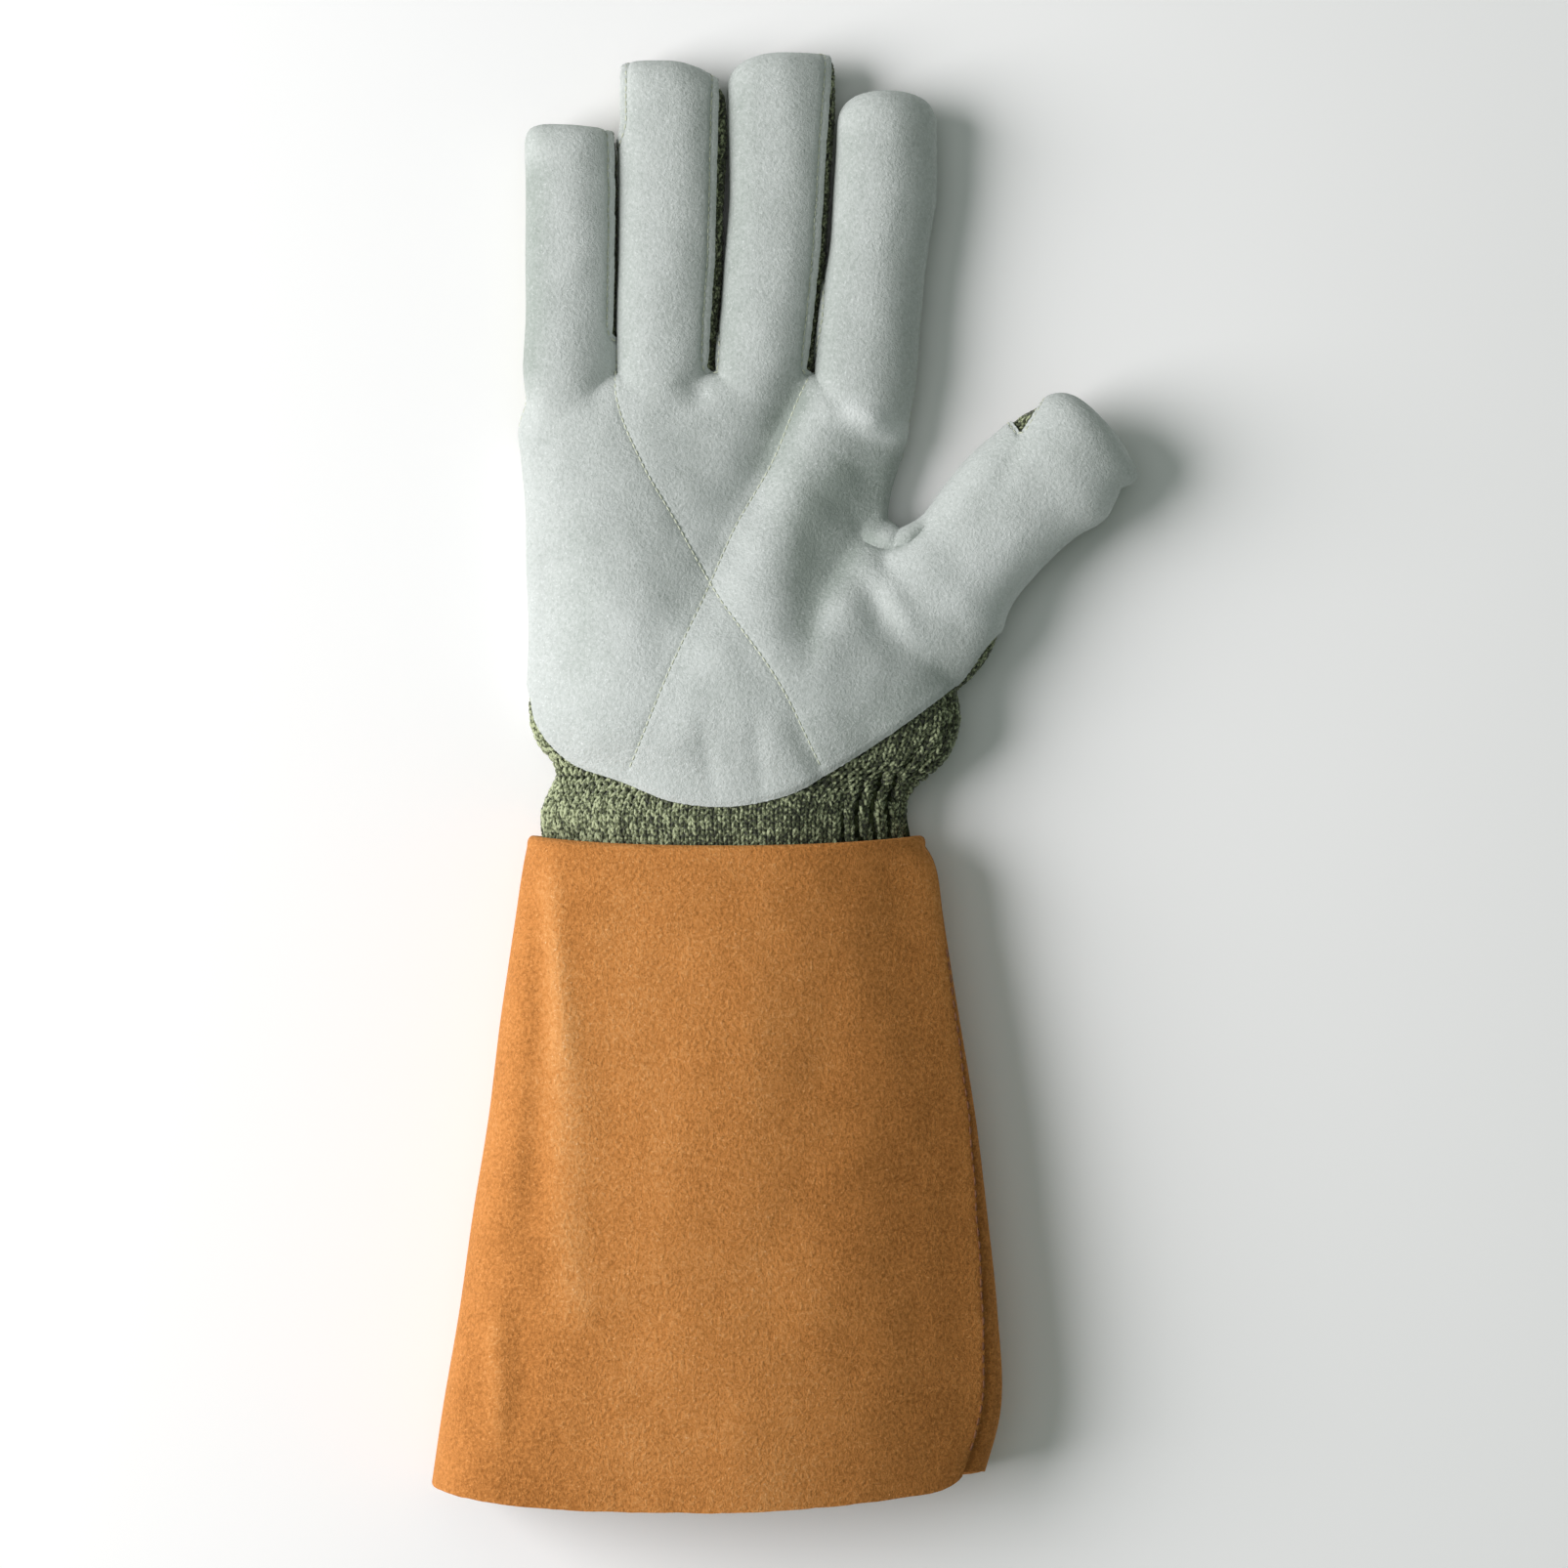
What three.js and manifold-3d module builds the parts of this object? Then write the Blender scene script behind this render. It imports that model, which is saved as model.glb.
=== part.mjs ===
// Right-hand gauntlet work glove, lying on its back with the palm up, as it rests on a table.
// It is sewn from three pieces: a seamless knitted glove, a split-leather patch over its palm,
// fingers and thumb, and a flared split-leather cuff with one side seam.
// Millimetres. +Y runs from the cuff to the fingertips, +X to the thumb and +Z up.
// The pieces are laid out from the middle of the cuff's upper edge, and the finished glove is
// then moved so that the origin lies on the table under the middle of the whole glove.
import * as THREE from "three";
import { mergeVertices } from "three/addons/utils/BufferGeometryUtils.js";
import Module from "manifold-3d";

const wasm = await Module();
wasm.setup();

// Thicknesses and clearances
const KNIT_WALL = 1.8; // heavy marl yarn, knitted on a coarse gauge
const PATCH_WALL = 1.3; // split leather of the palm patch
const CUFF_WALL = 1.5; // split leather of the cuff
const LAYER_GAP = 0.3; // air between two layers

// The knitted hand
const PALM_WIDTH = 112; // across the knuckles
const PALM_LENGTH = 139; // from the cuff's edge to the roots of the fingers
const PALM_HEIGHT = 30;
const WEB_RISE = 8; // the web between ring and little finger sits higher
const WEB_AT = -0.54; // its place, as a share of the palm's half width
const WRIST_TUCK = 12; // length of knit hidden in the cuff
const WRIST_LIFT = 2 * CUFF_WALL + 2 * LAYER_GAP; // the wrist rides over the cuff's doubled edge
const GATHER_COUNT = 12; // soft gathers round the wrist, where the knit is drawn into the cuff
const GATHER_DEPTH = 1;

// The thumb, and where it grows out of the palm
const THUMB_LENGTH = 89.5;
const THUMB_WIDTH = 36;
const THUMB_HEIGHT = 23;
const THUMB_HEADING = 42.4; // degrees from +X
const THUMB_LIFT = 7; // height of the thumb's tip over the table
const THUMB_ROOT = { x: 0.427, y: 0.442 }; // shares of the palm's width and length

// The patch
const PATCH_EDGE_HEIGHT = 9; // the patch ends this high on the sides of the hand
const NOTCH_LENGTH = 9; // opening in the patch beside the thumb's tip, where the knit shows
const NOTCH_WIDTH = 6;

// The cuff
const CUFF_LENGTH = 187; // along its sides
const HEM_WIDTH = 164.5;
const HEM_HEIGHT = 54;
const HEM_BOW = 5; // the hem is cut longer in the middle of each side
const SHOULDER = 5; // radius of the turned upper edge
const SEAM_ALLOWANCE = 6; // width of the two edges turned in along the side seam
const SEAM_SLIT = 0.3;
const SEAM_TOP_ANGLE = 6; // degrees above the cuff's widest line, at the wrist
const SEAM_HEM_ANGLE = 22; // and at the hem

// How the rounded ovals are drawn
const WIDEST_AT = 0.42; // the widest line lies this share of the height above the table
const ROUNDNESS = 2.3; // 2 is an ellipse, more is squarer
const FLATTENING = 1.18; // the underside is pressed flat by this much
const TIP_ROUNDNESS = 3;
const TIP_STEPS = 3;
const PALM_SIDES = 36;
const DIGIT_SIDES = 14;
const CUFF_SIDES = 32;

// Four fingers. x is a share of the palm's width, the rest are millimetres and degrees.
const FINGER_ROOT = 0.819; // share of the palm's length
const FINGERS = [
  { name: "little", x: -0.414, length: 97.2, rootWidth: 23.8, tipWidth: 24.2, height: 18.5, lean: 0, lift: 5 },
  { name: "ring", x: -0.175, length: 116.6, rootWidth: 24.2, tipWidth: 27.2, height: 19.5, lean: 1.7, lift: 3 },
  { name: "middle", x: 0.069, length: 119.5, rootWidth: 23.6, tipWidth: 27.6, height: 20, lean: 5.7, lift: 2 },
  { name: "index", x: 0.337, length: 107.8, rootWidth: 28.6, tipWidth: 26.8, height: 20, lean: 6.5, lift: 4 },
];

// Sections of a finger, as shares of its length, width and height.
const FINGER_SECTIONS = [
  { along: 0, width: 0.84, height: 0.96 },
  { along: 0.16, width: 1, height: 1.04 },
  { along: 0.36, width: 0.99, height: 1 },
  { along: 0.6, width: 0.985, height: 0.99 },
  { along: 0.78, width: 1.01, height: 0.98 },
];
const FINGER_TIP = 0.34; // length of the rounded tip, as a share of the tip's width

// Sections of the palm from the cuff up. along is a share of its length, centre and width of its
// width, height of its height, and lift of the wrist's lift.
const PALM_SECTIONS = [
  { along: 0, centre: 0.002, width: 0.996, height: 1.04, lift: 1 },
  { along: 0.067, centre: -0.006, width: 0.977, height: 0.98, lift: 1 },
  { along: 0.098, centre: 0.003, width: 0.959, height: 0.95, lift: 0.8 },
  { along: 0.129, centre: 0.027, width: 0.967, height: 0.95, lift: 0.6 },
  { along: 0.16, centre: 0.061, width: 1.008, height: 0.98, lift: 0.4 },
  { along: 0.205, centre: 0.055, width: 1.095, height: 1.04, lift: 0.15 },
  { along: 0.27, centre: 0.052, width: 1.142, height: 1.1, lift: 0 },
  { along: 0.345, centre: 0.045, width: 1.115, height: 1.12, lift: 0 },
  { along: 0.46, centre: 0.009, width: 1.036, height: 1.08, lift: 0 },
  { along: 0.58, centre: -0.03, width: 0.969, height: 1.01, lift: 0 },
  { along: 0.712, centre: -0.049, width: 0.936, height: 0.91, lift: 0 },
  { along: 0.796, centre: -0.042, width: 0.969, height: 0.81, lift: 0 },
  { along: 0.879, centre: -0.032, width: 1.016, height: 0.68, lift: 0 },
];

// Sections of the thumb from inside the palm to where its tip begins to round.
const THUMB_SECTIONS = [
  { along: -0.13, centre: -0.1, width: 0.9, height: 0.9, lift: 0 },
  { along: 0.064, centre: -0.12, width: 1.2, height: 1.12, lift: 0 },
  { along: 0.178, centre: -0.08, width: 1.24, height: 1.16, lift: 0.05 },
  { along: 0.258, centre: -0.04, width: 1.2, height: 1.14, lift: 0.15 },
  { along: 0.335, centre: 0, width: 1, height: 1.06, lift: 0.3 },
  { along: 0.485, centre: 0.072, width: 0.978, height: 0.98, lift: 0.5 },
  { along: 0.61, centre: 0.101, width: 0.997, height: 0.95, lift: 0.7 },
  { along: 0.7, centre: 0.093, width: 1.003, height: 0.93, lift: 0.8 },
  { along: 0.79, centre: 0.05, width: 1.02, height: 0.92, lift: 0.9 },
  { along: 0.88, centre: 0.09, width: 0.92, height: 0.9, lift: 1 },
];

// Sections of the cuff from the wrist to the hem. centre and width are shares of the hem's
// width, height of its height.
const CUFF_SECTIONS = [
  { along: 0.042, centre: 0.01, width: 0.742, height: 0.8 },
  { along: 0.119, centre: 0.01, width: 0.77, height: 0.82 },
  { along: 0.273, centre: 0.011, width: 0.825, height: 0.87 },
  { along: 0.427, centre: 0.015, width: 0.874, height: 0.91 },
  { along: 0.581, centre: 0.011, width: 0.923, height: 0.95 },
  { along: 0.735, centre: 0.008, width: 0.965, height: 0.99 },
  { along: 0.889, centre: -0.005, width: 1, height: 1 },
  { along: 1, centre: -0.028, width: 0.99, height: 0.98 },
];

// Folds of the upper side. x and y are shares of a width and a length, turn is the way that the
// fold runs in degrees from +X, and length, width and depth are shares of the width.
const PALM_FOLDS = [
  { x: 0.22, y: 0.63, turn: 78, length: 0.22, width: 0.06, depth: -0.028 }, // crease of the thumb
  { x: 0.32, y: 0.59, turn: 84, length: 0.16, width: 0.12, depth: -0.036 }, // hollow beside it
  { x: 0.36, y: 0.8, turn: 80, length: 0.12, width: 0.06, depth: 0.016 }, // ridge under the index finger
  { x: 0.4, y: 0.46, turn: 110, length: 0.07, width: 0.045, depth: -0.018 }, // crease in the ball
  { x: 0.455, y: 0.48, turn: 125, length: 0.1, width: 0.05, depth: 0.02 }, // roll beside it
  { x: -0.13, y: 0.88, turn: 90, length: 0.08, width: 0.07, depth: -0.016 }, // dip between the fingers
];
const CUFF_FOLDS = [
  { x: -0.33, y: 0.45, turn: 82, length: 0.5, width: 0.045, depth: -0.016 }, // long soft crease
  { x: -0.25, y: 0.42, turn: 84, length: 0.5, width: 0.05, depth: 0.014 }, // ridge beside it
  { x: 0.16, y: 0.7, turn: 100, length: 0.4, width: 0.09, depth: -0.012 },
  { x: 0.33, y: 0.35, turn: 80, length: 0.35, width: 0.07, depth: 0.01 },
];

// The patch's lower edge round the heel of the hand, as shares of the palm's width and length.
const PATCH_HEEL = [
  { x: -0.64, y: 0.45 },
  { x: -0.521, y: 0.337 },
  { x: -0.494, y: 0.254 },
  { x: -0.414, y: 0.181 },
  { x: -0.26, y: 0.129 },
  { x: -0.106, y: 0.088 },
  { x: 0.072, y: 0.076 },
  { x: 0.2, y: 0.088 },
  { x: 0.328, y: 0.14 },
  { x: 0.481, y: 0.222 },
  { x: 0.624, y: 0.326 },
  { x: 0.713, y: 0.463 },
  { x: 0.86, y: 0.52 },
];

const degrees = (angle) => (angle * Math.PI) / 180;
const mix = (a, b, t) => a + (b - a) * t;

// A closed mesh as a solid that can be cut and joined.
function solid(geometry) {
  const bare = geometry.index ? geometry.toNonIndexed() : geometry.clone();
  bare.deleteAttribute("normal");
  bare.deleteAttribute("uv");
  const merged = mergeVertices(bare, 1e-4);
  const mesh = new wasm.Mesh({
    numProp: 3,
    vertProperties: new Float32Array(merged.attributes.position.array),
    triVerts: new Uint32Array(merged.index.array),
  });
  return new wasm.Manifold(mesh);
}

// A finished solid as a named mesh.
function piece(name, body, material) {
  const mesh = body.getMesh();
  const geometry = new THREE.BufferGeometry();
  geometry.setAttribute("position", new THREE.BufferAttribute(mesh.vertProperties, 3));
  geometry.setIndex(new THREE.BufferAttribute(mesh.triVerts, 1));
  geometry.computeVertexNormals();
  const made = new THREE.Mesh(geometry, material);
  made.name = name;
  return made;
}

// Height that the folds add at a point, which is given as a share of the width and the length.
function foldHeight(folds, x, y, width, length) {
  let height = 0;
  for (const fold of folds) {
    const dx = (x - fold.x) * width;
    const dy = (y - fold.y) * length;
    const run = degrees(fold.turn);
    const along = (dx * Math.cos(run) + dy * Math.sin(run)) / (fold.length * width);
    const across = (dy * Math.cos(run) - dx * Math.sin(run)) / (fold.width * width);
    height += fold.depth * width * Math.exp(-along * along - across * across);
  }
  return height;
}

// A point of a rounded oval, (across, up) from the middle of its base line. The offset grows the
// oval all round, and its underside is flat.
function ovalPoint(section, angle, offset) {
  const power = 2 / ROUNDNESS;
  const cos = Math.cos(angle);
  const sin = Math.sin(angle);
  const middle = section.height * WIDEST_AT;
  const across = (section.width / 2 + offset) * Math.sign(cos) * Math.abs(cos) ** power;
  if (sin >= 0) {
    return [across, middle + (section.height - middle + offset) * sin ** power];
  }
  const drop = (middle + offset) * FLATTENING * Math.abs(sin) ** power;
  return [across, Math.max(-offset, middle - drop)];
}

// A closed loft of ovals. Each section holds its middle (x, y), its heading, width, height and
// lift, and bump(angle, x, y) is what the folds add there.
function loft(sections, sides, offset, bump) {
  const points = [];
  for (const section of sections) {
    const run = degrees(section.heading);
    for (let i = 0; i < sides; i++) {
      const angle = (2 * Math.PI * (i + 0.5)) / sides;
      const place = (grow) => {
        const [across, up] = ovalPoint(section, angle, grow);
        return [section.x + across * Math.sin(run), section.y - across * Math.cos(run), section.lift + up];
      };
      const [x, y, z] = place(offset);
      const [restX, restY] = place(0);
      const slide = section.slide ? section.slide(angle) : 0;
      points.push([x, y + slide, z + bump(angle, restX, restY)]);
    }
  }
  const rings = sections.length;
  const first = points.length;
  for (const ring of [0, rings - 1]) {
    const rim = points.slice(ring * sides, (ring + 1) * sides);
    points.push([0, 1, 2].map((k) => rim.reduce((sum, p) => sum + p[k], 0) / sides));
  }
  const faces = [];
  for (let ring = 0; ring < rings - 1; ring++) {
    for (let i = 0; i < sides; i++) {
      const a = ring * sides + i;
      const b = ring * sides + ((i + 1) % sides);
      faces.push(a, a + sides, b, b, a + sides, b + sides);
    }
  }
  for (let i = 0; i < sides; i++) {
    const next = (i + 1) % sides;
    const last = (rings - 1) * sides;
    faces.push(first, i, next, first + 1, last + next, last + i);
  }
  const geometry = new THREE.BufferGeometry();
  geometry.setAttribute("position", new THREE.Float32BufferAttribute(points.flat(), 3));
  geometry.setIndex(faces);
  return solid(geometry);
}

// Sections that round off the end of a loft, from its last section on.
function roundEnd(last, length, offset) {
  const made = [];
  const run = degrees(last.heading);
  for (let step = 1; step <= TIP_STEPS; step++) {
    const angle = degrees(step < TIP_STEPS ? (90 * step) / TIP_STEPS : 86);
    const shrink = Math.cos(angle) ** (2 / TIP_ROUNDNESS);
    const along = (length + offset) * Math.sin(angle) ** (2 / TIP_ROUNDNESS);
    const height = last.height * mix(1, shrink, 0.8);
    made.push({
      ...last,
      x: last.x + along * Math.cos(run),
      y: last.y + along * Math.sin(run),
      width: (last.width + 2 * offset) * shrink - 2 * offset,
      height,
      lift: last.lift + (last.height - height) * WIDEST_AT,
    });
  }
  return made;
}

const palmX = (share) => share * PALM_WIDTH;
const palmY = (share) => share * PALM_LENGTH;
const upper = (angle) => Math.max(0, Math.sin(angle));

function palmBump(angle, x, y) {
  const nearCuff = Math.exp(-((y / (0.12 * PALM_LENGTH)) ** 2));
  const gathers = GATHER_DEPTH * nearCuff * Math.cos(GATHER_COUNT * angle);
  const folds = foldHeight(PALM_FOLDS, x / PALM_WIDTH, y / PALM_LENGTH, PALM_WIDTH, PALM_LENGTH);
  return upper(angle) * (folds + gathers);
}

// The palm, from inside the cuff to between the fingers. reach lengthens its open end.
function palmLoft(offset, reach) {
  const sections = PALM_SECTIONS.map((row) => ({
    x: palmX(row.centre),
    y: palmY(row.along),
    heading: 90,
    width: row.width * PALM_WIDTH,
    height: row.height * PALM_HEIGHT,
    lift: row.lift * WRIST_LIFT,
  }));
  const hidden = { ...sections[0], y: -WRIST_TUCK - reach };
  const last = sections[sections.length - 1];
  const round = roundEnd(last, palmY(1) - last.y, offset).map((section, step) => ({
    ...section,
    slide: (angle) => ((step + 1) / TIP_STEPS) * WEB_RISE * Math.exp(-(((Math.cos(angle) - WEB_AT) / 0.36) ** 2)),
  }));
  return loft([hidden, ...sections, ...round], PALM_SIDES, offset, palmBump);
}

function fingerLoft(finger, offset) {
  const heading = 90 - finger.lean;
  const run = degrees(heading);
  const sections = FINGER_SECTIONS.map((row) => ({
    x: palmX(finger.x) + row.along * finger.length * Math.cos(run),
    y: palmY(FINGER_ROOT) + row.along * finger.length * Math.sin(run),
    heading,
    width: row.width * mix(finger.rootWidth, finger.tipWidth, row.along),
    height: row.height * finger.height,
    lift: finger.lift * row.along ** 2,
  }));
  const tip = FINGER_TIP * finger.tipWidth;
  const start = finger.length - tip;
  const last = {
    ...sections[sections.length - 1],
    x: palmX(finger.x) + start * Math.cos(run),
    y: palmY(FINGER_ROOT) + start * Math.sin(run),
    width: finger.tipWidth,
    height: 0.95 * finger.height,
    lift: finger.lift,
  };
  return loft([...sections, last, ...roundEnd(last, tip, offset)], DIGIT_SIDES, offset, palmBump);
}

// A point beside the thumb's axis: along and across are shares of its length and width.
function thumbPoint(along, across) {
  const run = degrees(THUMB_HEADING);
  return [
    palmX(THUMB_ROOT.x) + along * THUMB_LENGTH * Math.cos(run) - across * THUMB_WIDTH * Math.sin(run),
    palmY(THUMB_ROOT.y) + along * THUMB_LENGTH * Math.sin(run) + across * THUMB_WIDTH * Math.cos(run),
  ];
}

function thumbLoft(offset) {
  const sections = THUMB_SECTIONS.map((row) => {
    const [x, y] = thumbPoint(row.along, row.centre);
    return {
      x,
      y,
      heading: THUMB_HEADING,
      width: row.width * THUMB_WIDTH,
      height: row.height * THUMB_HEIGHT,
      lift: row.lift * THUMB_LIFT,
    };
  });
  const last = sections[sections.length - 1];
  const [tipX, tipY] = thumbPoint(1, THUMB_SECTIONS[THUMB_SECTIONS.length - 1].centre);
  const tip = Math.hypot(tipX - last.x, tipY - last.y);
  return loft([...sections, ...roundEnd(last, tip, offset)], DIGIT_SIDES, offset, palmBump);
}

// The whole hand, grown by an offset.
function handForm(offset, reach = 0) {
  return FINGERS.reduce(
    (hand, finger) => hand.add(fingerLoft(finger, offset)),
    palmLoft(offset, reach).add(thumbLoft(offset)),
  );
}

function knitGlove() {
  return handForm(0).subtract(handForm(-KNIT_WALL, KNIT_WALL));
}

// Everything above the patch's edge and beyond its rounded heel, with the notch by the thumb.
function patchRegion() {
  const heel = new THREE.SplineCurve(PATCH_HEEL.map((row) => new THREE.Vector2(palmX(row.x), palmY(row.y))));
  const far = palmX(3);
  const outline = new THREE.Shape([
    ...heel.getPoints(40),
    new THREE.Vector2(far, palmY(PATCH_HEEL[PATCH_HEEL.length - 1].y)),
    new THREE.Vector2(far, far),
    new THREE.Vector2(-far, far),
    new THREE.Vector2(-far, palmY(PATCH_HEEL[0].y)),
  ]);
  const region = new THREE.ExtrudeGeometry(outline, { depth: far, bevelEnabled: false });
  region.translate(0, 0, PATCH_EDGE_HEIGHT);

  const [x, y] = thumbPoint(0.8, THUMB_SECTIONS[THUMB_SECTIONS.length - 1].centre);
  const run = degrees(THUMB_HEADING);
  const edge = THUMB_WIDTH / 2 + PATCH_WALL;
  const notch = new THREE.Shape([
    new THREE.Vector2(0, edge - NOTCH_WIDTH / 2),
    new THREE.Vector2(NOTCH_LENGTH, edge + NOTCH_WIDTH),
    new THREE.Vector2(-NOTCH_LENGTH / 4, edge + NOTCH_WIDTH),
  ]);
  const cut = new THREE.ExtrudeGeometry(notch, { depth: far, bevelEnabled: false });
  cut.rotateZ(run);
  cut.translate(x, y, 0);
  return solid(region).subtract(solid(cut));
}

function palmPatch() {
  const skin = handForm(LAYER_GAP + PATCH_WALL).subtract(handForm(LAYER_GAP));
  return skin.intersect(patchRegion());
}

// A section of the cuff at a share of its length from the wrist, read between the rows.
function cuffSection(along) {
  const rows = CUFF_SECTIONS;
  const next = Math.max(1, rows.findIndex((row) => row.along >= along));
  const [a, b] = [rows[next - 1], rows[next]];
  const t = (along - a.along) / (b.along - a.along);
  return {
    x: mix(a.centre, b.centre, t) * HEM_WIDTH,
    y: -along * CUFF_LENGTH,
    heading: 90,
    width: mix(a.width, b.width, t) * HEM_WIDTH,
    height: mix(a.height, b.height, t) * HEM_HEIGHT,
    lift: 0,
  };
}

function cuffBump(angle, x, y) {
  const share = (value) => value / HEM_WIDTH;
  return upper(angle) * foldHeight(CUFF_FOLDS, share(x), -y / CUFF_LENGTH, HEM_WIDTH, CUFF_LENGTH);
}

// The cuff's outside, or with a negative offset its inside, from the hem to the turned edge.
function cuffLoft(offset, reach) {
  const hemSlide = (angle) => -HEM_BOW * Math.sin(angle) ** 2 - reach;
  const sections = CUFF_SECTIONS.map((row) => cuffSection(row.along)).reverse();
  sections[0].slide = hemSlide;
  const last = sections[sections.length - 1];
  for (let step = 0; step <= TIP_STEPS; step++) {
    const angle = degrees((90 * step) / TIP_STEPS);
    sections.push({
      ...last,
      y: offset - SHOULDER * (1 - Math.sin(angle)),
      width: last.width - 2 * SHOULDER * (1 - Math.cos(angle)),
      height: last.height - SHOULDER * (1 - Math.cos(angle)),
    });
  }
  return loft(sections, CUFF_SIDES, offset, cuffBump);
}

// A thin blade along the side seam, from one depth under the cuff's outside to another.
function seamBlade(thickness, from, to, overrun) {
  const geometry = new THREE.BoxGeometry(1, 1, 1, CUFF_SECTIONS.length, 1, 1);
  const position = geometry.attributes.position;
  for (let i = 0; i < position.count; i++) {
    const t = position.getX(i) + 0.5;
    const along = mix(CUFF_SECTIONS[0].along, 1, t);
    const section = cuffSection(along);
    const angle = degrees(mix(SEAM_TOP_ANGLE, SEAM_HEM_ANGLE, t));
    const [across, up] = ovalPoint(section, angle, 0);
    const inward = new THREE.Vector2(-across, section.height * WIDEST_AT - up).normalize();
    const depth = position.getY(i) < 0 ? from : to;
    const side = (position.getZ(i) < 0 ? -thickness : thickness) / 2;
    const end = t < 0.5 ? overrun : -overrun - HEM_BOW;
    position.setXYZ(
      i,
      section.x + across + inward.x * depth - inward.y * side,
      section.y + (t === 0 || t === 1 ? end : 0),
      up + inward.y * depth + inward.x * side,
    );
  }
  return solid(geometry);
}

function cuff() {
  const wall = cuffLoft(0, 0).subtract(cuffLoft(-CUFF_WALL, 1));
  const lipGrowth = LAYER_GAP + CUFF_WALL;
  const lipBox = new THREE.BoxGeometry(2 * HEM_WIDTH, WRIST_TUCK - CUFF_WALL / 2, 2 * HEM_WIDTH);
  lipBox.translate(0, -(WRIST_TUCK + CUFF_WALL / 2) / 2, 0);
  const lip = palmLoft(lipGrowth, 0).intersect(solid(lipBox));
  const allowance = seamBlade(2 * CUFF_WALL + SEAM_SLIT, CUFF_WALL / 2, SEAM_ALLOWANCE, 0);
  const slit = seamBlade(SEAM_SLIT, -CUFF_WALL, 2 * SEAM_ALLOWANCE, CUFF_WALL);
  return wall
    .add(allowance.intersect(cuffLoft(0, 0)))
    .subtract(slit)
    .add(lip)
    .subtract(palmLoft(LAYER_GAP, 2 * CUFF_WALL));
}

const knitMaterial = new THREE.MeshStandardMaterial({ color: 0x5c6449, roughness: 0.95, metalness: 0 });
const patchMaterial = new THREE.MeshStandardMaterial({ color: 0xc6cbc8, roughness: 0.92, metalness: 0 });
const cuffMaterial = new THREE.MeshStandardMaterial({ color: 0xc98445, roughness: 0.92, metalness: 0 });

const glove = new THREE.Group();
glove.add(piece("knit_glove", knitGlove(), knitMaterial));
glove.add(piece("palm_patch", palmPatch(), patchMaterial));
glove.add(piece("cuff", cuff(), cuffMaterial));

const box = new THREE.Box3().setFromObject(glove, true);
const middle = box.getCenter(new THREE.Vector3());
glove.position.set(-middle.x, -middle.y, -box.min.z);

export default glove;
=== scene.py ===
import math

import bmesh
import bpy
import numpy as np
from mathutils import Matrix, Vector, noise
from mathutils.bvhtree import BVHTree
from mathutils.kdtree import KDTree


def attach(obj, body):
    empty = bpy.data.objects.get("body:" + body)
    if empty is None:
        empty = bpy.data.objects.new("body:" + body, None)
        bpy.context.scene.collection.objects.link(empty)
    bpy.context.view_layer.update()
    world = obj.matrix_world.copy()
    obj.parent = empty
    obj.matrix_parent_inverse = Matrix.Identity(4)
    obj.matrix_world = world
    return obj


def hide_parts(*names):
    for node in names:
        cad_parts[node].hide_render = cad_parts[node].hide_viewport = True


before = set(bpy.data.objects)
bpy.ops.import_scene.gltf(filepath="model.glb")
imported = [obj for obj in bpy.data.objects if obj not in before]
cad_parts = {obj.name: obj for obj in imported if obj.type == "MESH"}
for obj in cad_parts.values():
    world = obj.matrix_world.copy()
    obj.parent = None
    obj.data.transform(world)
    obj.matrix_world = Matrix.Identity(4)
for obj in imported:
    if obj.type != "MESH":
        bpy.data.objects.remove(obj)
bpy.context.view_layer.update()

# Table, light and camera. The glove lies on a pale matt board, palm up. A broad soft lamp stands
# low on its left, pale walls fill the shade, and the camera looks straight down on it.
MM = 0.001
CAMERA_PLACE = (0, -0.0035, 1.4)
LENS = 107.5
ROOM_LIGHT = {"Color": (0.82, 1.0, 0.88, 1), "Strength": 0.17}
TABLE_SIZE = 8
TABLE_GAP = 0.3 * MM  # under the glove
LAMPS = [  # name, place, width, power, colour
    ("key_lamp", (-1.45, 0.1, 1), 1.5, 44.5, (1, 0.97, 0.985)),
    ("top_lamp", (-0.2, 0.3, 2.2), 1.6, 5, (1, 1, 1)),
]


def set_inputs(node, inputs):
    """Sets a node's inputs by name."""
    for key, value in inputs.items():
        node.inputs[key.replace("_", " ")].default_value = value


def new_material(name, **inputs):
    """A material and its node tree, with named inputs of its surface set."""
    material = bpy.data.materials.new(name)
    material.use_nodes = True
    set_inputs(material.node_tree.nodes["Principled BSDF"], inputs)
    return material, material.node_tree


bpy.ops.object.select_all(action="DESELECT")
bpy.ops.mesh.primitive_plane_add(size=TABLE_SIZE, location=(0, 0, -TABLE_GAP))
table = bpy.context.object
table.name = "table"
board = new_material("table_board", Base_Color=(0.93, 0.93, 0.93, 1), Roughness=0.9, Specular_IOR_Level=0.2)[0]
table.data.materials.append(board)

for name, place, size, power, colour in LAMPS:
    bpy.ops.object.light_add(type="AREA", location=place)
    lamp = bpy.context.object
    lamp.name = name
    lamp.data.shape = "DISK"
    lamp.data.size = size
    lamp.data.energy = power
    lamp.data.color = colour
    lamp.rotation_euler = (-Vector(place)).to_track_quat("-Z", "Y").to_euler()

room = bpy.data.worlds.new("pale_room")
room.use_nodes = True
set_inputs(room.node_tree.nodes["Background"], ROOM_LIGHT)
bpy.context.scene.world = room
bpy.context.scene.view_settings.view_transform = "Standard"

bpy.ops.object.camera_add(location=CAMERA_PLACE, rotation=(0, 0, 0))
camera = bpy.context.object
camera.name = "camera"
camera.data.sensor_width = 36
camera.data.lens = LENS
bpy.context.scene.camera = camera

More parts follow.
